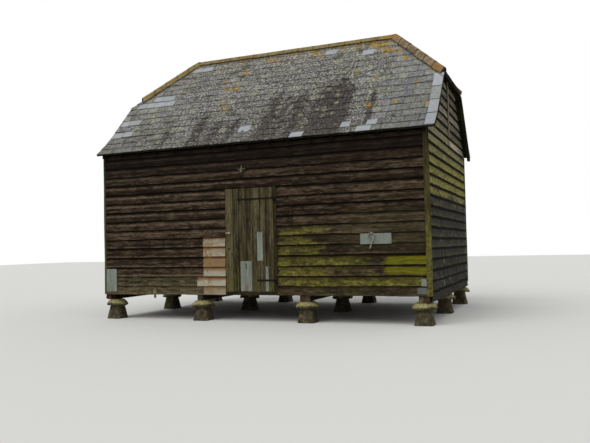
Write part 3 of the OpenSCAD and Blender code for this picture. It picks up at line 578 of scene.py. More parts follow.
def pale_board_bands(place, shade, lay):
    """The newer boards: orange-brown under each lap, white-grey below it, with dark spots. Painted
    shadow darkens each below the lap above it and under its foot.
    """
    up = parts_of(lay)[1]
    x, _, z = parts_of(place)
    start = attribute(place, "tone") * -0.22 + 0.29
    band = eased(cloudy(place, 7.0) * 0.12 + up, start, start + 0.07)
    band |= window(z, *BROWN_COURSE, 0.004) * 0.8
    pale = window(z, *PALE_COURSES, 0.01) * eased(up, 0.15, 0.11)
    left = eased(x, *LEFT_OF_BOARDS)
    bare = grow(place, 5.0, left * 0.3 + 0.14, 0.1)
    slanted = stretched(place, (14.0, 1.0, 5.0), turn=(0, 0.6, 0))
    scratch = grow(slanted, 1.6, left * 0.22 + 0.12, 0.02)
    # Two of these layers are painted shadow: dark red-brown below the lap above, and a dark line under
    # the foot
    return laid(shade, band * 0.78, "#78582f", eased(z, *STAINED_COURSE, 0.0, 0.28), "#6b6046",
                pale * 0.3, "#a5a594", eased(up, 0.150, 0.194, 0.0, 0.92), "#5a3012",
                bare * 0.7, "#86683f", scratch * 0.7, "#4a3f30",
                eased(up, 0.001, 0.006, 0.8, 0.0), "#3a2c1c")


# Roof, in plan: the painted shadows at the edges of the hip and ridge tiles, off their lines,
# and where the hips start in X. Then as heights: where lichen thickens towards the ridge, and its pale
# top
HIP_EDGE = (0.120, 0.138)
RIDGE_EDGE = (0.112, 0.132)
HIPS_START = (2.5, 2.7)
GREEN_OVER = (5.5, 6.3)
PALE_TOP = (5.95, 6.35)
# Where slates darken towards the eaves by depth, the calm right part by X, a dull band on it
LOW_ROOF = (1.5, 2.3)
CALM_FROM = (2.7, 3.7)
BAND_X = (3.12, 3.38)
BAND_DEPTH = (1.2, 1.8)


def capping_edge_shadows(x, depth):
    """Painted shadow: dark lines where the slates run under the edges of the ridge and hip
    tiles. How far a point is off a hip is its distance in plan from the hip's line."""
    along, aside = np.array([HIP_X - RIDGE_X, HIP_Y]) / np.hypot(HIP_X - RIDGE_X, HIP_Y)
    off_hip = abs((abs(x) - RIDGE_X) * float(aside) + depth * -float(along))
    by_hip = window(off_hip, *HIP_EDGE, 0.004) * eased(abs(x), *HIPS_START)
    return (by_hip | window(depth, *RIDGE_EDGE, 0.006)) * 0.8


def slate_finish():
    """Slates: each has its own tone and dark joints, and painted shadow under the tails of the
    course above and along its own tail. Crusts of lichen, pale and grey-green, dark moss that
    hangs down in bands, and orange lichen in patches. Newer slates are clean."""
    material, place = new_finish("lichened_slate", roughness=0.72, shine=0.2)
    tone = attribute(place, "tone")
    across, up, width = parts_of(attribute(place, "lay", "Vector"))
    x, y, z = parts_of(place)
    depth = abs(y)
    ridge_near = eased(z, *GREEN_OVER)
    calm = eased(cloudy(place, 1.3) + x, *CALM_FROM, 1.0, 0.42)
    mottle = cloudy(place, 17.0, 6.0, 0.85)
    shade = ramped(tone * 0.27 + (mottle * 1.9 - 0.395), (0.42, "#33302d"), (0.70, "#6f6d66"),
                   (0.98, "#b0afa9"))
    hue = (tone * 5.7 + cloudy(place, 4.0)).fract()
    tint = ramped(hue, (0.15, "#7b7d68"), (0.5, "#7f7d7a"), (0.85, "#85808c"))
    shade = laid(shade, 0.75, tint, blend="COLOR")
    rough_part = calm * eased(x, -3.2, -1.8, 0.45, 1.0)
    sway = cloudy(stretched(place, (2.2, 0.9, 0.9)), 1.0, 5.0, 0.65)
    bent = sway * 0.34 + (x - 0.17)
    past = sway * 0.5 + (along_x(bent, MOSS_TOPS) * -3.0 + depth - 0.25)
    mossy = along_x(bent, MOSS_BY_X) * eased(past, -0.25, 0.30)
    moss = grow(stretched(place, (1.0, 0.5, 0.5)), 7.0, mossy * 0.86 + 0.13, 0.06)
    moss *= grow(place, 24.0, 0.77, 0.08)
    plum = ramped(cloudy(place, 24.0), (0.3, "#0c0606"), (0.7, "#301a1c"))
    grey = grow(place, 12.0, mossy * -0.2 + 0.46, 0.05) * (calm * 0.7 + 0.3)
    low = eased(depth, *LOW_ROOF, 0.0, 0.24) * eased(x, -0.5, 0.5, 0.8, 1.0)
    band = window(bent, *BAND_X, 0.06) * window(depth, *BAND_DEPTH, 0.15)
    green = grow(stretched(place, shift=(5, 2, 0)), 9.0, ridge_near * 0.22 + 0.26, 0.05)
    yellow = grow(place, 10.0, 0.66, 0.15) * eased(z, *PALE_TOP, 0.0, 0.6)
    crusts = rosettes(place, 5.5, mossy * 0.16 + 0.14, 0.28)
    crusts |= spots_at(frayed(place, 20.0, 0.05), on_slope(CRUST_PLACES))
    crusts *= grow(place, 34.0, 0.78, 0.1)
    dots = rosettes(place, 24.0, 0.34, 0.14)
    pits = grow(stretched(place, shift=(9, 3, 4)), 16.0, 0.38, 0.04) * calm
    pores = grow(stretched(place, shift=(4, 9, 1)), 25.0, 0.50, 0.03)
    grains = grow(stretched(place, shift=(7, 2, 6)), 23.0, 0.40, 0.03)
    grains *= (rough_part * 0.72 - 0.15) * (mossy * -0.80 + 1.0)
    damp = spots_at(frayed(place, 9.0, 0.12), on_slope(DAMP_PLACES)) * grow(place, 14.0, 0.7, 0.1)
    wild = grow(stretched(place, shift=(2, 8, 5)), 3.4, ridge_near * 0.24 + 0.10, 0.03)
    gold = wild * 0.45 | spots_at(frayed(place, 7.0, 0.16), on_slope(GOLD_PLACES))
    flakes = grow(stretched(place, (0.7, 1, 1.3)), 26.0, gold * 0.78, 0.07)
    ochre = ramped(cloudy(place, 15.0), (0.40, "#5f5220"), (0.50, "#98791f"), (0.66, "#b88a40"))
    clean = ramped(tone * 0.4 + mottle * 0.5, (0.32, "#70757d"), (0.46, "#8d9189"),
                   (0.54, "#9da1a7"), (0.70, "#acb0b6"))
    # The dark joints are the slates' own; head and tail are painted shadow under the course above and
    # at each tail
    joint = eased(across & (width - across), 0.002, 0.012, 0.8, 0.0)
    head = eased(up, SLATE_GAUGE - 0.034, SLATE_GAUGE - 0.008, 0.0, 0.75)
    tail = eased(up, 0.001, 0.008, 0.7, 0.0)
    filled = eased(x, -1.6, -2.8, 0.0, -0.35) + eased(depth, 1.5, 2.1, 0.0, -0.22)
    filled = grow(stretched(place, shift=(2, 2, 7)), 6.0, filled + (calm * 0.40 + 0.38), 0.15)
    dark = (joint | head | tail) * (filled * -0.75 + 1.0)
    shade = laid(shade, moss * 0.96, plum, grey * 0.65, "#93938a", calm * -0.55 + 0.55, "#7b8283",
                 low, "#4c4a44", band * 0.4, "#53575a", green * 0.5, "#74734f",
                 yellow, "#aba384", crusts * 0.8, "#97967c", dots * 0.85, "#bab9b2",
                 pits * 0.75, "#2d2926", pores * (rough_part * 0.85 - 0.15), "#1a1614",
                 grains, "#c1c0b4", damp * 0.75, "#3f3a2f",
                 flakes * eased(gold, 0.05, 0.3) * 0.8, ochre,
                 attribute(place, "fresh") * 0.9, clean, dark | capping_edge_shadows(x, depth), "#1d1815")
    height = cloudy(place, 18.0, 5.0) + grey * 0.5 + crusts
    return finished(material, shade, height, 0.006)


# Orange lichen on the tiles: at the foot of the right front hip and at the ridge's right end
TILE_GOLD = ((3.60, -1.30, 5.05, 0.55), (2.60, 0.0, 6.40, 0.45))


def tile_finish(name, clay, lichen, cover, joints=False):
    """Clay tiles, or old grey metal, with a crust in patches and dark spots. With joints,
    each tile is dark at both ends, by its lay."""
    material, place = new_finish(name)
    value = attribute(place, "tone") * 0.6 + cloudy(place, 9.0) * 0.5
    shade = laid(
        ramped(value, (0.2, "#5c4632"), (0.8, clay)), grow(place, 7.0, cover, 0.1) * 0.85, lichen,
        grow(stretched(place, shift=(4, 4, 1)), 16.0, 0.36, 0.05) * 0.6, "#8f8c78",
        grow(place, 26.0, 0.3, 0.04) * 0.6, "#3b3328")
    if joints:
        orange = grow(place, 11.0, spots_at(place, TILE_GOLD) * 0.75, 0.08)
        along, _, tile = parts_of(attribute(place, "lay", "Vector"))
        end = eased(along & (tile - along), 0.006, 0.024, 0.85, 0.0)
        shade = laid(shade, orange * 0.7, "#94682a", end, "#241c14")
    return finished(material, shade, cloudy(place, 30.0, 5.0), 0.006)


def stone_finish():
    """Staddle stones: brown-grey stone with moss on what faces up, and pale spots."""
    material, place = new_finish("mossy_stone", roughness=0.92)
    shade = ramped(cloudy(place, 11.0, 8.0), (0.3, "#28241a"), (0.5, "#443e2f"), (0.72, "#655e47"))
    facing = made("ShaderNodeNewGeometry", {}, "Normal", place.tree)
    on_caps = eased(parts_of(place)[2], 0.28, 0.34)
    cover = eased(parts_of(facing)[2], 0.05, 0.7) * 0.62 + on_caps * 0.24
    green = ramped(cloudy(place, 24.0), (0.3, "#676235"), (0.7, "#b0a978"))
    shade = laid(shade, grow(place, 8.0, cover, 0.12) * 0.85, green,
                 grow(place, 28.0, 0.16, 0.03) * 0.6, "#b0aa8c")
    return finished(material, shade, cloudy(place, 26.0, 8.0, 0.7), 0.008)


# A rust hole in a zinc sheet and the run below it, then the dark corner of another: X, height
HOLE = ((-0.135, -0.105), (1.10, 1.22))
HOLE_RUN = ((-0.16, -0.08), (0.88, 0.72))
DARK_CORNER = ((3.3, 3.4), (BOARD_FOOT + 0.18, BOARD_FOOT + 0.17))


def zinc_finish():
    """Old zinc sheet: dull blue-grey, blotched, with rust that runs down from a few spots."""
    material, place = new_finish("old_zinc", 0.62, metallic=0.2, shine=0.3)
    x, _, z = parts_of(place)
    streaky = cloudy(stretched(place, (14.0, 1.0, 2.0)), 1.0, 5.0)
    hole = window(x, *HOLE[0], 0.008) * window(z, *HOLE[1], 0.02)
    run = window(x, *HOLE_RUN[0], 0.02) * eased(z, *HOLE_RUN[1])
    streaks = grow(stretched(place, (9.0, 1.0, 1.1), (0.4, 0, 0.2)), 2.2, 0.14, 0.06)
    corner = eased(x, *DARK_CORNER[0]) * eased(z, *DARK_CORNER[1])
    shade = laid(ramped(streaky, (0.3, "#62685e"), (0.7, "#7f867b")),
                 (streaks | run * 0.8) * 0.85, "#6b452a", hole * 0.9, "#3a2416",
                 grow(place, 20.0, 0.3, 0.05) * 0.5, "#565c57", corner * 0.55, "#2c3133")
    return finished(material, shade, cloudy(place, 5.0, 3.0), 0.006)


def iron_finish():
    """Old iron: near black, with brown rust in patches."""
    material, place = new_finish("rusty_iron", roughness=0.8, metallic=0.1)
    shade = ramped(cloudy(place, 28.0, 5.0), (0.4, "#0e0b0a"), (0.7, "#251a14"))
    return finished(material, shade, cloudy(place, 90.0), 0.002)


def brick_finish():
    """Old soft red brick with dull stains."""
    material, place = new_finish("old_brick", roughness=0.9)
    shade = laid(ramped(cloudy(place, 14.0, 6.0), (0.3, "#2e1a14"), (0.7, "#54332a")),
                 grow(place, 12.0, 0.4, 0.08) * 0.6, "#4a4230")
    return finished(material, shade, cloudy(place, 60.0, 5.0), 0.004)


# Sizes of the new pieces

# How finely the surfaces are worked out
WAVES = 9
ALONG = np.linspace(0, 1, 22)[:, None]
AROUND = np.linspace(0, 2 * np.pi, 48, endpoint=False)
SHEET_POINTS = 12

# Weatherboards: the rise from course to course, the lap, the gap at butted ends, the least
# length beside a joint, and how uneven the courses are. Then the section of a board, as
# shares of its height and distances out from the frame
GAUGE = 0.2045
LAP = 0.028
END_GAP = 0.0015
SHORTEST_BOARD = 0.3
FOOT_UNEVEN = 0.006
BOARD_UP = np.array([0.03, 0.0, 0.0, 1.0, 1.0, 0.55])
BOARD_OUT = np.array([0.038, 0.0355, 0.016, 0.001, 0.011, 0.0245])
# The first seed of the boards, the studs that they join on, and a gable's reach for joints
WALL_SEED = 11
STUD_PLACES = (-2.86, -2.13, -1.42, 0.95, 1.6, 2.2, 2.85)
GABLE_JOINT_REACH = 2.3
# How much lower the second, third and fourth courses of the front start than the gauge has it
FRONT_DROP = (0.022, 0.018, 0.008)
# The newer boards by the door: their left ends from the foot up, and their gap to the doorway
NEW_BOARD_ENDS = (-1.156, -1.31, -1.156, -1.156, -1.156, -1.156)
NEW_BOARD_GAP = 0.012
# The two courses that have a short board at their right end, and where it starts
BRIGHT_ROWS = (2, 3)
BRIGHT_JOINT = 2.83

# Section of a plank: shares of its width, and how far in from its face, where 1 is its back
PLANK_ACROSS = np.array([0, 0.04, 0.5, 0.96, 1, 1, 0])
PLANK_EASE = np.array([0.004, 0.0, 0.0005, 0.0, 0.004, 1, 1])
# The door's ledges and straps, as the model has them
LEDGES = 3
LEDGE_H = 0.11
STRAP_H = 0.036
STRAP_T = 0.007
# Nail heads in ledges, straps and zinc sheets: how large and how proud they are
LEDGE_NAIL = (0.006, 0.002)
STRAP_NAIL = (0.009, 0.004)
SHEET_NAIL = (0.004, 0.0015)

# Zinc sheets, as the model has them: left side, foot, width and height of each
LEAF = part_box("door_leaf")[0]
DOOR_SHEETS = np.array([
    (0.740, 0.645, 0.130, 0.600), (0.345, 0.008, 0.265, 0.640),
    (0.925, 0.258, 0.066, 0.270), (0.925, 0.010, 0.066, 0.212),
]) + [LEAF.x, LEAF.z, 0, 0]
WALL_SHEETS = np.array([
    (LEFT_END, BOARD_FOOT + 0.055, 0.292, 0.525),
    (END_FACE - 0.755 - 0.630, BOARD_FOOT + 1.005, 0.630, 0.215),
    (RIGHT_END - 0.105, BOARD_FOOT + 0.190, 0.105, 0.145),
    (RIGHT_END - 0.185, BOARD_FOOT + 0.040, 0.185, 0.125),
])

# Thickness of the zinc, which its dents share, how far its nails lie in from the sides and
# from foot and head, and the height of sheet that there is for each nail of a side
SHEET_T = 0.0012
SHEET_INSET = (0.014, 0.016)
SHEET_SPACING = 0.12

# Slates: width, thickness, the joint between two, how far off it may be, how far a slate runs
# on under the second course above, and the most that its tail's corners are worn off
SLATE_W = 0.275
SLATE_T = 0.0085
SLATE_JOINT = 0.004
SLATE_UNEVEN = 0.045
SLATE_OVERLAP = 0.07
WORN_CORNERS = (0.05, 0.035, 0.05, 0.035)
# Battens and the boards under them: width, thickness, and their tops over the slope
LATH_W, LATH_T, LATH_TOP = 0.04, 0.014, -0.034
ROOF_BOARD_W, ROOF_BOARD_T, ROOF_BOARD_TOP = 0.175, 0.0145, -0.049
# Half the length over which the main slopes flatten
KICK_SOFT = 0.16
# Middles of the pale newer slates on the front: X, and the depth from the ridge in plan
FRESH_SLATES = (
    (-0.16, 2.13), (-3.22, 1.02), (-2.92, 1.02), (-3.82, 1.18), (-3.60, 1.18), (-3.30, 1.18),
    (-3.00, 1.18), (-2.72, 1.18), (-3.75, 1.64), (-3.46, 1.64), (-3.80, 1.98), (-3.50, 1.98),
    (-2.45, 0.22), (-2.17, 0.22), (1.22, 0.27), (2.16, 0.42), (2.12, 2.28), (2.64, 2.24),
    (2.60, 2.48), (1.14, 2.48),
)
# The four verge slates: how far in they start, their width, and the tone and cleanness of
# each from the eaves up
VERGE_IN = 0.209
VERGE_W = 0.205
VERGE_TONES = (0.78, 0.64, 0.55, 0.95)
VERGE_CLEAN = (0.8, 1.0, 0.8, 0.9)

# Ridge and hip tiles: how many, points across one as shares of its half width, how the roof
# is rounded under them, and their top. Then a hip tile's arch, half width and raised tail
RIDGE_TILES = 13
HIP_TILES = 6
TILE_ACROSS = np.array([-1, -0.8, -0.5, -0.25, -0.1, 0, 0.1, 0.25, 0.5, 0.8, 1])
TILE_ROUND = 0.05
CAPPING_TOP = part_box("ridge_tiles")[1].z - 0.002
HIP_CROWN = 0.06
HIP_WING = 0.128
HIP_TAIL_UP = 0.006

# Staddle stones: the two middle ones of each row in X, the stems' width at the top and how
# square they are, the height of the caps' rims, and the radius of their flat tops
STONES_BETWEEN = (-1.28, 1.16)
STEM_TOP_W = 0.26
STEM_SQUARENESS = 7
CAP_RIM = 0.045
CAP_FLAT_R = 0.12

# Iron on the wall: the ring in from the gable and up from the boards' foot, its radius and
# its bar, the bracket's middle and height over the boards' foot, and the strap's middle
RING_PLACE = (1.150, 1.180)
RING_R = 0.052
RING_BAR = 0.0105
BRACKET_PLACE = (-0.188, 2.583)
FOOT_STRAP_X = -2.384


# Geometry from arrays


def each(values):
    """One value for each solid, to be spread over its rings and points."""
    return np.asarray(values, float)[:, None, None]


def joined(*parts):
    """Arrays of fitting shapes put together as the coordinates of points."""
    return np.stack(np.broadcast_arrays(*parts), -1)


def wander(points, seed, size):
    """Mean of nine sine waves in seeded directions, 0.6 to 1.7 waves to a length of size,
    made larger and kept between -1 and 1."""
    draw = np.random.default_rng(seed)
    ways = draw.normal(size=(WAVES, np.shape(points)[-1]))
    ways *= draw.uniform(0.6, 1.7, (WAVES, 1)) / np.linalg.norm(ways, axis=1, keepdims=True)
    waves = np.sin(np.asarray(points) @ (ways.T * 2 * np.pi / size) + draw.uniform(0, 6.3, WAVES))
    return np.clip(waves.mean(-1) * 1.8, -1, 1)


def turned_out(rings):
    """Reverses each solid's rings where they run clockwise about the way to the next ring."""
    first = rings[:, 0] - rings[:, 0].mean(1, keepdims=True)
    face = np.cross(first, np.roll(first, -1, 1)).sum(1)
    onward = rings[:, 1:].mean((1, 2)) - rings[:, 0].mean(1)
    wrong = ((face * onward).sum(-1) < 0)[:, None, None, None]
    return np.where(wrong, rings[:, :, ::-1], rings), wrong


def ring_faces(solids, rings, sides):
    """Four-sided faces between neighbouring rings of each solid, and a face on each end."""
    base, ring, side = np.meshgrid(
        np.arange(solids) * rings * sides, np.arange(rings - 1) * sides, np.arange(sides),
        indexing="ij")
    here = base + ring + side
    beside = base + ring + (side + 1) % sides
    quads = np.stack([here, beside, beside + sides, here + sides], -1).reshape(-1, 4)
    starts = np.arange(solids)[:, None] * rings * sides
    first = starts + np.arange(sides)[::-1]
    last = starts + (rings - 1) * sides + np.arange(sides)
    return quads.tolist() + first.tolist() + last.tolist()


def add_solids(name, rings, finish, slot, nodes=(), body="granary", smooth=False, **values):
    """One piece of many closed solids, which stands for the nodes named. rings holds, for
    each solid, rings of points one after the other. The values are kept on the points: one
    for each solid, or a vector for each point."""
    rings = np.asarray(rings, float)
    count, stations, sides, _ = rings.shape
    rings, wrong = turned_out(rings)
    mesh = bpy.data.meshes.new(name)
    mesh.from_pydata(rings.reshape(-1, 3).tolist(), [], ring_faces(count, stations, sides))
    for key, value in values.items():
        kind, part = "FLOAT", "value"
        value = np.asarray(value, float)
        if value.ndim > 1:
            kind, part = "FLOAT_VECTOR", "vector"
            value = np.broadcast_to(value, rings.shape)
            value = np.where(wrong, value[:, :, ::-1], value)
        else:
            value = np.repeat(value, stations * sides)
        layer = mesh.attributes.new(key, kind, "POINT")
        layer.data.foreach_set(part, value.astype(np.float32).ravel())
    mesh.polygons.foreach_set("use_smooth", np.full(len(mesh.polygons), smooth))
    mesh.materials.append(finish)
    piece = bpy.data.objects.new(name, mesh)
    bpy.context.scene.collection.objects.link(piece)
    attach(piece, body)
    if nodes:
        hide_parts(*nodes)


def wall_point(side, along, out, height):
    """A point of a wall: along it to the right as seen from outside, out from the frame,
    and up. Side 0 is the front, 1 the right gable, 2 the back and 3 the left gable."""
    face = FRAME_Y if side % 2 == 0 else FRAME_X
    turn = side * np.pi / 2
    across, away = np.round((np.cos(turn), np.sin(turn)))
    x = along * across + (face + out) * away
    y = along * away - (face + out) * across
    return joined(x, y, height)


def lapped_boards(side, rows, seed, wave=0.006):
    """Rings of lapped boards; a row holds a board's two ends at its foot, the two at its
    head, its foot and its top. A board is a wedge, thick and proud at its foot and thin at
    its head; its ends run straight from foot to head, and its foot wanders by wave."""
    draw = np.random.default_rng(seed)
    count = len(rows)
    foot_left, foot_right, top_left, top_right, foot, top = map(each, np.transpose(rows))
    left = foot_left + (top_left - foot_left) * BOARD_UP
    right = foot_right + (top_right - foot_right) * BOARD_UP
    along = left + (right - left) * ALONG
    row = each(draw.uniform(0, 50, count))
    spot = joined(along, row, row * 0)
    lift = wave * wander(spot, seed + 1, 0.7) + 0.5 * wave * wander(spot, seed + 2, 0.23)
    skew = each(draw.uniform(-0.004, 0.004, count))
    depth = (top - foot) * BOARD_UP
    height = foot + depth + (lift + skew) * (1 - BOARD_UP)
    bow = 0.0022 * (wander(spot, seed + 3, 1.1) - 0.6) * (1 - 0.8 * BOARD_UP)
    lay = joined(along, depth, each(np.arange(count)) * 3.7 + seed)
    by_row = wander(joined(foot * 40.0, seed)[:, 0, 0], seed + 4, 7.0)
    tone = 0.5 + 0.32 * by_row + draw.uniform(-0.14, 0.14, count)
    return {"rings": wall_point(side, along, BOARD_OUT + bow, height), "lay": lay, "tone": tone}


def cut_course(left, right, joints):
    """Splits one course from left to right at the joints that fall inside it."""
    inside = [j for j in joints if left + SHORTEST_BOARD < j < right - SHORTEST_BOARD]
    ends = [left, *inside, right]
    return list(zip(ends[:-1], ends[1:]))


def course_feet(foot, top, side):
    """Heights of the feet of the courses, evenly gauged with a small fixed unevenness.
    The lowest courses of the front are a little closer together."""
    draw = np.random.default_rng(40 + side)
    rows = int(np.ceil((top - foot) / GAUGE))
    feet = foot + GAUGE * np.arange(rows) + draw.uniform(-FOOT_UNEVEN, FOOT_UNEVEN, rows)
    feet[0] = foot
    if side == 0:
        feet[1:1 + len(FRONT_DROP)] -= FRONT_DROP
    return feet


def joint_places(row, side):
    """Butt joints on a few of the studs, different from course to course."""
    draw = np.random.default_rng(500 + 31 * row + side)
    return sorted(draw.choice(STUD_PLACES, 2, replace=False).tolist())


def square_ended(spans, foot):
    """Rows of boards with upright ends, a gap apart, from a foot up to the next lap."""
    top = min(foot + GAUGE + LAP, WALL_TOP)
    return [(a + END_GAP, b - END_GAP) * 2 + (foot, top) for a, b in spans]


def front_boards():
    """Courses of the front, stopped at the doorway and at the newer boards by it."""
    rows = []
    for row, foot in enumerate(course_feet(BOARD_FOOT, WALL_TOP, 0)):
        joints = [BRIGHT_JOINT] if row in BRIGHT_ROWS else joint_places(row, 0)
        if foot + 0.01 < DOOR_TOP:
            stop = NEW_BOARD_ENDS[row] if row < len(NEW_BOARD_ENDS) else DOOR_X0
            spans = cut_course(LEFT_END, stop, joints) + cut_course(STRIP_X1, RIGHT_END, joints)
        else:
            foot = max(foot, DOOR_TOP + 0.002)
            spans = cut_course(LEFT_END, RIGHT_END, joints)
        rows += square_ended(spans, foot)
    add_solids("front_weatherboards", finish=FRONT_WOOD, slot="weathered_board",
               nodes=("front_wall_left", "front_wall_right", "front_wall_over_door"),
               **lapped_boards(0, rows, WALL_SEED))


def new_boards():
    """Six newer boards by the door, with clean straight feet."""
    ends = [(left, DOOR_X0 - NEW_BOARD_GAP) for left in NEW_BOARD_ENDS]
    feet = course_feet(BOARD_FOOT, WALL_TOP, 0)
    rows = [end * 2 + (foot, foot + GAUGE + LAP) for end, foot in zip(ends, feet)]
    add_solids("newer_boards_by_door", finish=NEW_WOOD, slot="weathered_board",
               **lapped_boards(0, rows, WALL_SEED + 7, 0.002))


def back_boards():
    """Courses of the back, from end to end."""
    rows = []
    for row, foot in enumerate(course_feet(BOARD_FOOT, WALL_TOP, 2)):
        rows += square_ended(cut_course(-RIGHT_END, -LEFT_END, joint_places(row, 2)), foot)
    add_solids("back_weatherboards", finish=BACK_WOOD, slot="weathered_board",
               nodes=("back_wall",), **lapped_boards(2, rows, WALL_SEED + 20))


def gable_limit(height):
    """Half width of a gable at a height, cut to the underside of the slates."""
    under = height + SLATE_DEPTH + 0.004
    above_kick = (RIDGE_Z - under) / MAIN_SLOPE
    below_kick = KICK_Y + (KICK_Z - under) / EAVES_SLOPE
    return float(np.clip(np.where(under > KICK_Z, above_kick, below_kick), 0.05, FRAME_Y))


def gable_boards(side, name, node):
    """Courses of a gable, cut to the roof. Where the old loading hatch was boarded up,
    the courses over it break at the middle."""
    top_of_all = HIP_Z + HIP_SLOPE * (HIP_X - END_FACE) - SLATE_DEPTH - 0.006
    hatch_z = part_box("gable_joint_strip")[0].z
    rows = []
    for row, foot in enumerate(course_feet(GABLE_FOOT, top_of_all, side)):
        top = min(foot + GAUGE + LAP, top_of_all)
        wide, narrow = gable_limit(foot), gable_limit(top)
        joints = [j for j in joint_places(row, side) if abs(j) < GABLE_JOINT_REACH]
        if side == 1:
            joints = [0.0] if foot + 0.1 > hatch_z else joints[:1]
        spans = cut_course(-wide, wide, joints)
        for i, (a, b) in enumerate(spans):
            a_top = -narrow if i == 0 else a
            b_top = narrow if i == len(spans) - 1 else b
            rows.append((a + END_GAP, b - END_GAP, a_top + END_GAP, b_top - END_GAP, foot, top))
    add_solids(name, finish=GABLE_WOOD, slot="mossy_board", nodes=(node,),
               **lapped_boards(side, rows, WALL_SEED + 30 + side, 0.008))


def plank_rings(x0, x1, z0, z1, front, back, seed, wave=0.0015):
    """Rings of upright planks seen from the front, from foot to head, with eased edges.
    front and back are the depths of their faces in Y."""
    sizes = np.broadcast_arrays(*np.atleast_1d(x0, x1, z0, z1, front, back))
    x0, x1, z0, z1, front, back = map(each, sizes)
    number = each(np.arange(len(x0)))
    inward = np.sign(back - front)
    x = x0 + (x1 - x0) * PLANK_ACROSS
    y = front + inward * np.where(PLANK_EASE == 1, np.abs(back - front), PLANK_EASE)
    z = z0 + (z1 - z0) * ALONG
    spot = joined(number * 9.1, y * 0, z)
    x = x + wave * wander(spot, seed, 0.9) * np.where(PLANK_ACROSS > 0.5, -1, 1)
    y = y + inward * wave * 0.6 * (1 + wander(spot, seed + 1, 0.6)) * (PLANK_EASE < 1)
    tone = np.random.default_rng(seed).uniform(0, 1, len(x0))
    return {"rings": joined(x, y, z), "lay": joined(z, x + 0.05, number * 2.9 + seed), "tone": tone}


def trim_boards():
    """Corner boards at all four corners, and the strip by the door."""
    low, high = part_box("corner_boards")
    face = np.repeat([FRONT_FACE, -FRONT_FACE], 2)
    back = np.repeat([-FRAME_Y, FRAME_Y], 2)
    add_solids("corner_trim", finish=CORNER_WOOD, slot="mossy_board", nodes=("corner_boards",),
               **plank_rings([low.x, RIGHT_END] * 2, [LEFT_END, high.x] * 2, low.z, high.z, face,
                             back, 61, 0.003))
    low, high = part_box("door_jamb_strip")
    add_solids("door_side_strip", finish=STRIP_WOOD, slot="door_plank", nodes=("door_jamb_strip",),
               **plank_rings(low.x + 0.002, high.x - 0.001, low.z, high.z, FRONT_FACE, -FRAME_Y, 62))


def door_planks():
    """Seven planks of uneven width, a few millimetres apart, with uneven feet."""
    low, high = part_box("door_leaf")
    edges = plank_edges()
    draw = np.random.default_rng(71)
    count = len(PLANK_SHARES)
    foot = low.z + draw.uniform(0.0, 0.008, count)
    head = high.z - draw.uniform(0.0, 0.006, count)
    front = low.y + draw.uniform(0.0, 0.0035, count)
    planks = plank_rings(edges[:-1] + END_GAP, edges[1:] - END_GAP, foot, head, front, high.y, 72)
    add_solids("door_planks", finish=DOOR_WOOD, slot="door_plank", nodes=("door_leaf",),
               body="door", **planks)


def add_nails(name, centres, head, body):
    """Domed nail heads: a ring of eight points on the face and two smaller ones before it."""
    radius, proud = head
    angle = np.linspace(0, 2 * np.pi, 8, endpoint=False)
    wheel = joined(np.cos(angle), 0, np.sin(angle)) * radius
    rings = [wheel * size - [0, proud * out, 0] for size, out in ((1, 0), (0.95, 0.5), (0.55, 1))]
    add_solids(name, np.asarray(centres)[:, None, None] + rings, IRON, "black_iron", body=body,
               smooth=True)


def door_nails():
    """Two nails through every plank at every ledge, and a few along each strap."""
    low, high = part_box("door_leaf")
    edges = plank_edges()
    ledge_low, ledge_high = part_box("door_ledges")
    rows = np.linspace(ledge_low.z + LEDGE_H / 2, ledge_high.z - LEDGE_H / 2, LEDGES)
    x, z, shift = np.meshgrid((edges[1:] + edges[:-1]) / 2, rows, [-0.03, 0.03], indexing="ij")
    nails = joined(x + shift * 0.6, low.y, z + shift).reshape(-1, 3)
    add_nails("door_nails", nails, LEDGE_NAIL, "door")
    strap_low, strap_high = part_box("strap_hinges")
    y = low.y - STRAP_T
    upper = [[strap_low.x + 0.03 + 0.22 * i, y, strap_high.z - STRAP_H / 2] for i in range(4)]
    lower = [[high.x - 0.36 + 0.12 * i, y, strap_low.z + STRAP_H / 2] for i in range(3)]
    add_nails("strap_nails", upper + lower, STRAP_NAIL, "door")


def sheet_rings(x0, z0, width, height, face, seed):
    """Rings of thin sheets, from one side to the other: the edges wander and the sheet
    is slightly dented."""
    up = np.concatenate([np.linspace(0, 1, SHEET_POINTS), np.linspace(1, 0, SHEET_POINTS)])
    outer = np.repeat([1, 0], SHEET_POINTS)
    number = each(np.arange(len(x0))) * 7.7
    x0, z0, width, height = map(each, (x0, z0, width, height))
    spot = joined(ALONG * width + number, up * height, number)
    edge = 0.004 * wander(spot, seed, 0.12)
    inside = np.minimum(width, height) * 0.018
    x = x0 + inside + (width - inside * 2) * ALONG + edge * (1 - 2 * ALONG)
    z = z0 + inside + (height - inside * 2) * up + edge * (0.5 - up)
    dent = SHEET_T * (1 + wander(spot, seed + 1, 0.15))
    return joined(x, face - 0.0008 - outer * (SHEET_T + dent), z)


def zinc_sheets(place, node, body, sheets):
    """The sheets on the wall or on the door, and the nails up their two sides."""
    rings = sheet_rings(*sheets.T, FRONT_FACE, 81)
    add_solids(f"{place}_zinc_sheets", rings, ZINC, "zinc_sheet", (node,), body)
    inset, rise = SHEET_INSET
    nails = []
    for x, z, width, height in sheets:
        count = max(2, int(height / SHEET_SPACING))
        for up in np.linspace(z + rise, z + height - rise, count):
            nails += [(side, FRONT_FACE - 0.003, up) for side in (x + inset, x + width - inset)]
    add_nails(f"{place}_zinc_nails", nails, SHEET_NAIL, body)


def down_main(s):
    """Depth from the ridge in plan and height, at a distance s down a main slope. The
    slates run over the line where the roof flattens in a soft curve."""
    past = s - KICK_Y / MAIN_LEAN
    past = (past + np.hypot(past, KICK_SOFT)) / 2
    before = s - past
    fall = before * MAIN_SLOPE * MAIN_LEAN + past * EAVES_SLOPE * EAVES_LEAN
    return before * MAIN_LEAN + past * EAVES_LEAN, RIDGE_Z - fall


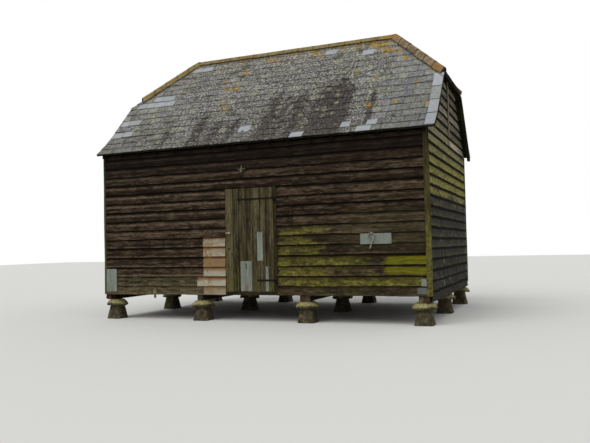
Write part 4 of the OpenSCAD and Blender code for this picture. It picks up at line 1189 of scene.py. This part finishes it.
def front_surface(u, s, lift):
    """Front slope: u is X, s runs down from the ridge and lift stands off the surface."""
    depth, height = down_main(s)
    return joined(u, -(depth + lift * MAIN_SLOPE * MAIN_LEAN), height + lift * MAIN_LEAN)


def right_surface(u, s, lift):
    """Right half-hip: u is Y."""
    x = RIDGE_X + (s + lift * HIP_SLOPE) * HIP_LEAN
    return joined(x, u, RIDGE_Z - (s * HIP_SLOPE - lift) * HIP_LEAN)


def turned_round(surface):
    """The same slope on the far side: the back one, or the left half-hip."""
    return lambda u, s, lift: surface(u, s, lift) * [-1, -1, 1]


def main_reach(s):
    """Half width of a main slope at a distance down it: to the hip, then to the verge."""
    return np.minimum(RIDGE_X + down_main(s)[0] / HIP_Y * (HIP_X - RIDGE_X), VERGE_X)


def hip_reach(s):
    """Half width of a half-hip at a distance down it."""
    return HIP_Y * s / HIP_LENGTH


def lay_slates(surface, reach, length, rows, seed, cut=0.03):
    """Rings of slates in courses from the eaves up. A slate is a thin slab, one ring of
    nine points under it and one on top: worn corners at its tail, straight sides and head.
    Its tail lies on the two courses below, and all of them are cut to the slope's reach."""
    draw = np.random.default_rng(seed)
    gauge = length / rows
    long = 2 * gauge + SLATE_OVERLAP
    columns = int(np.ceil(2 * HIP_X / SLATE_W)) + 2
    row, column = np.meshgrid(np.arange(rows), np.arange(columns + 1), indexing="ij")
    edges = (column - columns / 2 + 0.5 * (row % 2)) * SLATE_W
    edges = edges + draw.uniform(-SLATE_UNEVEN, SLATE_UNEVEN, edges.shape)
    left, right, course = [part.reshape(-1, 1) for part in (edges[:, :-1], edges[:, 1:], row[:, :-1])]
    count = len(left)
    nick = draw.uniform(0, 1, (count, 4)) ** 3 * WORN_CORNERS
    share = np.array([0, 0, 0.5, 1, 1, 1, 1, 0, 0])
    across = left + SLATE_JOINT / 2 + share * (right - left - SLATE_JOINT)
    across[:, 1] += nick[:, 0]
    across[:, 3] -= nick[:, 2]
    up = np.tile([0, 0, 0, 0, 0, gauge, long, long, gauge], (count, 1))
    up[:, 0] = nick[:, 1]
    up[:, 2] = draw.uniform(-0.004, 0.006, count)
    up[:, 4] = nick[:, 3]
    turn = draw.normal(0, 0.014, (count, 1))
    middle = (left + right) / 2
    slip = draw.normal(0, 0.009, count)
    slip = slip + 0.012 * wander(np.hstack([middle, course * 3.1, course * 0.0]), seed, 1.6)
    slip = (slip + (draw.uniform(0, 1, count) < 0.04) * -0.03)[:, None]
    slip = np.where(course == 0, np.abs(slip) * 0.3, slip)
    s = length - course * gauge - up - slip + turn * (across - middle)
    s = np.clip(s, 0.02, length - 0.004)
    across = across + turn * (up - gauge)
    limit = reach(s) - cut
    inside = np.clip(across, -limit, limit)
    kept = (np.ptp(inside, 1) > 0.03) & (np.ptp(s, 1) > 0.08)
    inside, s, up = inside[kept], s[kept], up[kept]
    tip = draw.uniform(0, 0.004, (kept.sum(), 1)) * np.clip(1 - up / gauge, 0, 1)
    top = -0.005 - 2.2 * SLATE_T * up / long + tip
    rings = surface(inside[:, None], s[:, None], np.stack([top - SLATE_T, top], 1))
    low = inside.min(1, keepdims=True)
    lay = joined(inside - low, up, np.ptp(inside, 1, keepdims=True))
    return rings, np.clip(draw.normal(0.5, 0.28, kept.sum()), 0, 1), lay[:, None]


def is_fresh(rings, places):
    """1 for the slate whose visible middle lies nearest to each of the places."""
    middle = rings[:, 1, [0, 4, 5, 8]].mean(1)
    found = np.zeros(len(rings))
    for x, depth in places:
        found[np.argmin(np.hypot(middle[:, 0] - x, 1.45 * (middle[:, 1] + depth)))] = 1
    return found


def bars_across(surface, reach, low, high, top, deep, cut):
    """Bars from edge to edge of a slope, between two distances down it, with their tops
    and undersides square to it."""
    s = np.stack([low, high, high, low], -1)[:, None]
    lift = np.array([top, top, top - deep, top - deep])
    return surface((reach(s) - cut) * [[-1], [1]], s, lift)


def roof_slates():
    """Slates of the two main slopes and the two half-hips, with the battens under their
    heads and the boards under those."""
    for i, (name, surface, reach, length, rows, node) in enumerate((
        ("front", front_surface, main_reach, MAIN_LENGTH, MAIN_ROWS, "front_slope"),
        ("back", turned_round(front_surface), main_reach, MAIN_LENGTH, MAIN_ROWS, "back_slope"),
        ("right_hip", right_surface, hip_reach, HIP_LENGTH, HIP_ROWS, "right_half_hip"),
        ("left_hip", turned_round(right_surface), hip_reach, HIP_LENGTH, HIP_ROWS, "left_half_hip"),
    )):
        rings, tone, lay = lay_slates(surface, reach, length, rows, 90 + i)
        fresh = is_fresh(rings, FRESH_SLATES if name == "front" else ())
        tone = np.where(fresh > 0, 0.6 + 0.2 * tone, tone)
        add_solids(f"{name}_slates", rings, SLATE, "roof_slate", (node,), tone=tone,
                   fresh=fresh, lay=lay)
        gauge = length / rows
        s = length - gauge * np.arange(1, rows + 1) - 0.05
        s = np.concatenate([s[s > 0.06], [length - 0.03, length - 0.03 - gauge]])
        battens = bars_across(surface, reach, s - LATH_W / 2, s + LATH_W / 2, LATH_TOP, LATH_T, 0.02)
        add_solids(f"{name}_battens", battens, OAK_X, "oak_frame")
        edges = np.linspace(0.07, length - 0.012, int(length / ROOF_BOARD_W) + 1)
        wide = np.diff(edges) - 0.003
        boards = bars_across(surface, reach, edges[:-1] + wide * 0.0015, edges[:-1] + wide,
                             ROOF_BOARD_TOP, ROOF_BOARD_T, 0.004)
        add_solids(f"{name}_roof_boards", boards, SOFFIT, "oak_frame")


def verge_slates():
    """Four large pale slates, each two courses high, up the right verge of the front."""
    share_s = np.array([0, 0, 0.5, 1, 1])
    share_u = np.array([0, 1, 1, 1, 0])
    tails = MAIN_LENGTH - 0.011 - 2 * SLATE_GAUGE * each(np.arange(len(VERGE_TONES)))
    s = tails - (2 * SLATE_GAUGE + 0.03) * share_s
    top = 0.010 - 0.012 * share_s
    u = VERGE_X - VERGE_IN + VERGE_W * share_u
    rings = front_surface(u, s, np.stack([top - SLATE_T, top]))
    lay = joined(VERGE_W * share_u, 0.21 * share_s, VERGE_W)
    add_solids("verge_slates", rings, SLATE, "roof_slate", tone=VERGE_TONES, fresh=VERGE_CLEAN,
               lay=lay[None, None])


def rounded_roof(x, y):
    """Height of the slates' top with the ridge and the hips rounded off."""
    main = RIDGE_Z - MAIN_SLOPE * np.sqrt(y * y + 0.0006)
    end = HIP_Z + HIP_SLOPE * (HIP_X - np.abs(x))
    return (main + end - np.hypot(main - end, TILE_ROUND)) / 2


def capping_rings(start, way, length, wing, count, seed, tail_up, crown=0.0):
    """Tiles over a ridge or a hip. In plan a tile is a strip; across it the roof's height
    is followed with the ridge rounded off, plus a parabola that is crown high in the middle
    and nothing at the wings. Each tile's tail lies on the next head."""
    draw = np.random.default_rng(seed)
    step = length / count
    sides = np.concatenate([TILE_ACROSS, TILE_ACROSS[::-1]]) * wing
    outer = np.repeat([1, 0], len(TILE_ACROSS))
    t = np.array([0, 0.1, 0.5, 0.93, 1.0])[:, None]
    from_start = (each(np.arange(count)) + t) * step + t * 0.02
    skew = each(draw.normal(0, 0.006, count))
    w = sides * (1 + each(draw.normal(0, 0.03, count))) + skew * (t - 0.5)
    x = start + way[0] * from_start - way[1] * w
    y = way[1] * from_start + way[0] * w
    rise = tail_up * t + each(draw.uniform(0, 0.003, count))
    x = np.clip(x, -HIP_X + 0.004, HIP_X - 0.004)
    if crown:
        arch = crown * np.clip(1 - (w / wing) ** 2, 0, 1)
        z = rounded_roof(x, y) + 0.007 + rise + 0.015 * outer + arch
        z = np.minimum(z, CAPPING_TOP - 0.002 * (1 - outer))
    else:
        z = RIDGE_Z - MAIN_SLOPE * np.sqrt(y * y + 0.0004) + 0.024 + rise + 0.019 * outer
    return joined(x, y, z), draw.uniform(0, 1, count), joined(step * t, w, step)


def ridge_and_hips():
    """Thirteen tiles along the ridge, and six down each of the four hips. The last one
    of the left front hip is missing."""
    rings, tone, lay = capping_rings(-RIDGE_X - 0.02, (1.0, 0.0), 2 * RIDGE_X + 0.02,
                                     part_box("ridge_tiles")[1].y, RIDGE_TILES, 101, 0.0)
    add_solids("ridge_capping", rings, RIDGE_CLAY, "clay_tile", ("ridge_tiles",), smooth=True,
               tone=tone, lay=lay)
    run = np.array([HIP_X - RIDGE_X, HIP_Y])
    length = np.hypot(*run)
    for i, (name, flip_x, finish, nodes) in enumerate((
            ("right_hip_capping", 1, HIP_CLAY, ("hip_tiles",)),
            ("left_hip_capping", -1, RIDGE_CLAY, ()))):
        hips = []
        for back, flip_y in enumerate((-1, 1)):
            rings, tone, lay = capping_rings(RIDGE_X, run / length, length - 0.035, HIP_WING,
                                             HIP_TILES, 103 + 2 * i + back, HIP_TAIL_UP,
                                             HIP_CROWN)
            kept = HIP_TILES - 1 if flip_x < 0 and flip_y < 0 else HIP_TILES
            hips.append((rings[:kept] * [flip_x, flip_y, 1], tone[:kept], lay[:kept]))
        rings, tone, lay = map(np.concatenate, zip(*hips))
        add_solids(name, rings, finish, "clay_tile", nodes, smooth=True, tone=tone, lay=lay)


def stem_rings(centres, foot, head, height, seed):
    """Battered stems: a square with rounded corners that narrows upwards. Its half width
    over the direction's norm, with squareness as the power, gives the radius; the face is
    worn inwards."""
    level = np.linspace(0, 1, 20)[:, None]
    c, s = np.cos(AROUND), np.sin(AROUND)
    norm = np.abs(c) ** STEM_SQUARENESS + np.abs(s) ** STEM_SQUARENESS
    radius = 1 / norm ** (1 / STEM_SQUARENESS)
    half = (foot + (head - foot) * level) / 2
    number = each(np.arange(len(centres)))[..., None] * 5.3
    spot = joined(radius * c * half, radius * s * half, level * height) + number
    worn = 0.005 * (1 + wander(spot, seed, 0.22)) + 0.003 * (1 + wander(spot, seed + 1, 0.07))
    reach = radius * half - worn
    return joined(each(centres[:, 0]) + reach * c, each(centres[:, 1]) + reach * s, level * height)


def cap_rings(centres, radius, foot_z, height, seed):
    """Mushroom caps: flat over the stem, hollow below the lip, then a thin rim and a dome
    whose height is the sine of a quarter turn to the power of 1.3. The rim sags at two
    sides and rises between them, wanders in, and the dome is worn down towards it."""
    bend = np.linspace(0, np.pi / 2, 10)[1:]
    lip_z = CAP_RIM * 0.55
    r = np.concatenate([[radius * 0.62, radius * 0.76, radius - 0.030, radius - 0.004, radius],
                        CAP_FLAT_R + (radius - CAP_FLAT_R) * np.cos(bend)])[:, None]
    z = np.concatenate([[0, 0, -0.006, CAP_RIM * 0.1, lip_z],
                        lip_z + (height - lip_z) * np.sin(bend) ** 1.3])[:, None]
    c, s = np.cos(AROUND), np.sin(AROUND)
    number = each(np.arange(len(centres)))[..., None] * 4.1
    spot = joined(c * r, s * r, z) + number
    share = np.clip((r - CAP_FLAT_R) / (radius - CAP_FLAT_R), 0, 1)
    size = 1 - each(np.random.default_rng(seed).uniform(0.0, 0.06, len(centres)))
    worn = 0.014 * (1 + wander(spot, seed, 0.3)) + 0.006 * (1 + wander(spot, seed + 1, 0.08))
    reach = r * np.where(share > 0, size, 1) - worn * share
    drop = 0.010 * (1 + wander(spot, seed + 2, 0.12)) * np.sin(np.pi * share) * (z > CAP_RIM)
    draw = np.random.default_rng(seed + 5)
    sag = each(draw.uniform(0.006, 0.022, len(centres)))
    lean = each(draw.uniform(-0.2, 0.9, len(centres)))
    drop = drop + sag * share ** 2 * np.cos(2 * (AROUND - lean))
    drop[:, :2] = 0
    x = each(centres[:, 0]) + reach * c
    return joined(x, each(centres[:, 1]) + reach * s, foot_z + z - drop)


def staddle_stones():
    """Three rows of four stones, each a stem and a cap."""
    for i, row in enumerate(("front", "middle", "back")):
        stem_low, stem_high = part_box(f"staddle_stems_{row}")
        cap_low, cap_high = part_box(f"staddle_caps_{row}")
        radius = (cap_high.y - cap_low.y) / 2
        x = np.array([cap_low.x + radius, *STONES_BETWEEN, cap_high.x - radius])
        centres = joined(x, (stem_low.y + stem_high.y) / 2)
        top = stem_high.z
        for part, rings in (
            ("stems", stem_rings(centres, stem_high.y - stem_low.y, STEM_TOP_W, top, 110 + i)),
            ("caps", cap_rings(centres, radius, top, cap_high.z - cap_low.z, 120 + i)),
        ):
            add_solids(f"stone_{part}_{row}", rings, STONE, "staddle_stone",
                       (f"staddle_{part}_{row}",), smooth=True)


def plates(origin, *extents):
    """Plain plates as two rings of four points. Each lies between two corners, which are
    given from the origin."""
    low, high = np.moveaxis(np.array(extents) + origin, 1, 0)[:, :, None, None]
    share = [[(x, end, z) for x, z in ((0, 0), (1, 0), (1, 1), (0, 1))] for end in (0, 1)]
    return low + (high - low) * share


def add_bar(name, x, y, z, radius, nodes=()):
    """A round iron bar along a smooth path: at each point a circle of ten points square to
    the path, whose radius may change on the way."""
    points = joined(x, y, z)
    way = np.gradient(points, axis=0)
    side = np.cross(way, [0.0, 1.0, 0.0])
    side /= np.linalg.norm(side, axis=1, keepdims=True)
    other = np.cross(way, side)
    other /= np.linalg.norm(other, axis=1, keepdims=True)
    turn = np.linspace(0, 2 * np.pi, 10, endpoint=False)[:, None]
    circle = side[:, None] * np.cos(turn) + other[:, None] * np.sin(turn)
    rings = points[:, None] + circle * np.reshape(radius, (-1, 1, 1))
    add_solids(name, rings[None], PALE_IRON, "black_iron", nodes, smooth=True)


def wall_ironwork():
    """The ring with its hanging iron on the long sheet, the bracket over the door and the
    strap over the boards' foot, at their places in the model."""
    x, z = END_FACE - RING_PLACE[0], BOARD_FOOT + RING_PLACE[1]
    y = FRONT_FACE - 0.0033 - 2 * RING_BAR
    turn = np.linspace(0.05, np.pi - 0.05, 24)
    half = 1.25 * RING_R
    add_bar("sheet_ring", x + half * np.cos(turn), y, z - 0.01 + 1.05 * RING_R * np.sin(turn),
            RING_BAR, ("wall_ironwork",))
    t = np.linspace(0, 1, 40)
    add_bar("sheet_ring_foot", x + half * (1 - 2 * t), y, z - 0.012 - 0.034 * np.sin(np.pi * t), 0.010)
    lumps = 0.010 + 0.009 * np.abs(np.sin(3 * np.pi * t)) * (t > 0.25)
    add_bar("sheet_hanging_iron", x + 0.05 - 0.085 * t, y - 0.004 * np.sin(9 * t),
            z - 0.05 - 0.215 * t, lumps * np.clip(12 * (1 - t), 0.3, 1))
    bracket = plates(
        (BRACKET_PLACE[0], FRONT_FACE, BOARD_FOOT + BRACKET_PLACE[1]),
        ((-0.092, -0.030, 0.062), (0.092, 0.004, 0.074)),
        ((-0.011, -0.016, 0.074), (0.011, 0.004, 0.138)),
        ((-0.026, -0.040, 0.002), (0.026, -0.002, 0.062)))
    add_solids("eaves_bracket", bracket, DULL_IRON, "black_iron")
    strap = plates(
        (FOOT_STRAP_X, FRONT_FACE, BOARD_FOOT),
        ((-0.030, -0.005, -0.073), (0.030, 0.000, 0.146)),
        ((-0.056, -0.009, 0.005), (0.054, -0.005, 0.110)))
    add_solids("foot_strap", strap, DULL_IRON, "black_iron")


# Light, floor and hand-out of finishes to the model's own nodes

# Strengths of sky and sun, the sun's spread and turn, and half the floor's width
SKY_STRENGTH = 0.62
SUN_STRENGTH = 1.5
SUN_SPREAD = np.radians(50)
SUN_TURN = np.radians([38, -12, 0])
FLOOR_HALF = 60.0


def light_and_floor():
    """A pale floor, an even sky and one large soft lamp from the upper left."""
    world = bpy.data.worlds.new("sky")
    bpy.context.scene.world = world
    world.use_nodes = True
    tree = world.node_tree
    sky = tree.nodes["Background"]
    sky.inputs["Color"].default_value = (1.0, 1.0, 1.0, 1.0)
    seen, mirrored = [made("ShaderNodeLightPath", {}, ray, tree)
                      for ray in ("Is Camera Ray", "Is Glossy Ray")]
    strength = (seen | mirrored) * (1.0 - SKY_STRENGTH) + SKY_STRENGTH
    tree.links.new(strength.socket, sky.inputs["Strength"])
    lamp = bpy.data.lights.new("soft_sun", "SUN")
    lamp.energy = SUN_STRENGTH
    lamp.angle = SUN_SPREAD
    sun = bpy.data.objects.new("soft_sun", lamp)
    sun.rotation_euler = SUN_TURN
    bpy.context.scene.collection.objects.link(sun)
    mesh = bpy.data.meshes.new("floor")
    corners = [(x * FLOOR_HALF, y * FLOOR_HALF, 0) for x, y in ((-1, -1), (1, -1), (1, 1), (-1, 1))]
    mesh.from_pydata(corners, [], [range(4)])
    material = new_finish("pale_floor", roughness=0.95)[0]
    shader = material.node_tree.nodes["Principled BSDF"]
    shader.inputs["Base Color"].default_value = colour("#d9d9d6")
    mesh.materials.append(material)
    floor = bpy.data.objects.new("floor", mesh)
    bpy.context.scene.collection.objects.link(floor)


place_camera()
light_and_floor()

FRONT_WOOD = wood_finish("front_board_wood", "#0f0b07", "#2a2118", "#6d5c49",
                         (lap_shade_and_wear, front_growths, eaves_shade))
BACK_WOOD = wood_finish("back_board_wood", "#0f0b07", "#2b2318", "#6a5c48",
                        (moss_over("#34330f", "#5f5d22", 1.6, 0.34), lap_shade_and_wear, eaves_shade))
NEW_WOOD = wood_finish("newer_board_wood", "#6b6252", "#938975", "#b4ab99", (pale_board_bands,),
                       depth=0.002)
GABLE_WOOD = wood_finish("gable_board_wood", "#14120d", "#484130", "#a0977c",
                         (lap_shade_and_wear, gable_growths, deep_lap_shadows), depth=0.006)
CORNER_WOOD = wood_finish("corner_board_wood", "#211d12", "#3a341f", "#5c5638", (trim_algae_and_eaves_shade,))
DOOR_WOOD = wood_finish("door_plank_wood", "#1d1912", "#413a29", "#6e6550", (door_growths,),
                        depth=0.006)
STRIP_WOOD = wood_finish("door_side_wood", "#100d08", "#282114", "#4a4029",
                         (moss_over("#26230f", "#454122", 5.0, 0.4, 0.7),))
# Which way the grain of a timber runs, as a turn of its coordinates
GRAIN_WAYS = {"along": (0, 0, 0), "across": (0, 0, np.pi / 2), "upright": (0, np.pi / 2, 0)}
OAK_X, OAK_Y, OAK_Z = [
    wood_finish(f"oak_{way}", "#16120e", "#2c241b", "#493e30", along=turn)
    for way, turn in GRAIN_WAYS.items()]
INNER_X, INNER_Y, INNER_Z = [
    wood_finish(f"inner_oak_{way}", "#3f3528", "#6d5f49", "#93836a", along=turn)
    for way, turn in GRAIN_WAYS.items()]
SOFFIT = wood_finish("soffit_boards", "#120f0b", "#221d15", "#3a3326",
                     (moss_over("#1d2614", "#2f3a1c", 2.0, 0.5),), GRAIN_WAYS["along"])
# Near black oak for the rafter feet and sprockets: painted shade for the eaves' shadow they sit in
SHADED_EAVES_OAK = wood_finish("eaves_oak_painted_shade", "#040303", "#080706", "#0f0d0a", along=GRAIN_WAYS["across"])
JOINT_WOOD = wood_finish("joint_strip_wood", "#4a4438", "#7a7262", "#a0988a",
                         along=GRAIN_WAYS["upright"])
SLATE = slate_finish()
RIDGE_CLAY = tile_finish("ridge_clay", "#7d613b", "#857a48", 0.55, joints=True)
HIP_CLAY = tile_finish("hip_clay", "#7a5d44", "#8a8064", 0.5, joints=True)
STONE = stone_finish()
ZINC = zinc_finish()
IRON = iron_finish()
BRICK = brick_finish()
PALE_IRON = tile_finish("galvanised_iron", "#8f9188", "#a9aa9f", 0.5)
DULL_IRON = tile_finish("dull_iron", "#4d4f40", "#5a5f45", 0.5)

NODE_FINISHES = (
    (OAK_X, "front_sill back_sill floor_joists door_head wall_plates threshold door_ledges"),
    (OAK_Y, "cross_beams gable_sills"),
    (OAK_Z, "corner_posts door_posts"),
    (INNER_X, "purlins ridge_board hip_rafters jack_rafters"),
    (INNER_Y, "floor_boards gable_ties tie_beams collars gable_collars"),
    (INNER_Z, "front_studs_left front_studs_right back_studs gable_studs_left gable_studs_right"),
    (INNER_Z, "queen_struts"),
    (SHADED_EAVES_OAK, "rafters_front rafters_back sprockets"),
    (SOFFIT, "verge_boards"), (JOINT_WOOD, "gable_joint_strip"), (BRICK, "brick_packers"),
    (STONE, "block_packers"), (IRON, "pintles strap_hinges"), (PALE_IRON, "latch_plate"),
)


def dress_nodes():
    """Gives every node that stays in view its finish, in all its slots."""
    for finish, nodes in NODE_FINISHES:
        for node in nodes.split():
            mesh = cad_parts[node].data
            if not mesh.materials:
                mesh.materials.append(finish)
            for i in range(len(mesh.materials)):
                mesh.materials[i] = finish


front_boards()
new_boards()
back_boards()
gable_boards(1, "right_gable_weatherboards", "right_gable_wall")
gable_boards(3, "left_gable_weatherboards", "left_gable_wall")
trim_boards()
door_planks()
door_nails()
zinc_sheets("wall", "wall_patches", "granary", WALL_SHEETS)
zinc_sheets("door", "door_patches", "door", DOOR_SHEETS)
roof_slates()
verge_slates()
ridge_and_hips()
staddle_stones()
wall_ironwork()
dress_nodes()

bpy.context.scene.view_settings.view_transform = "Standard"
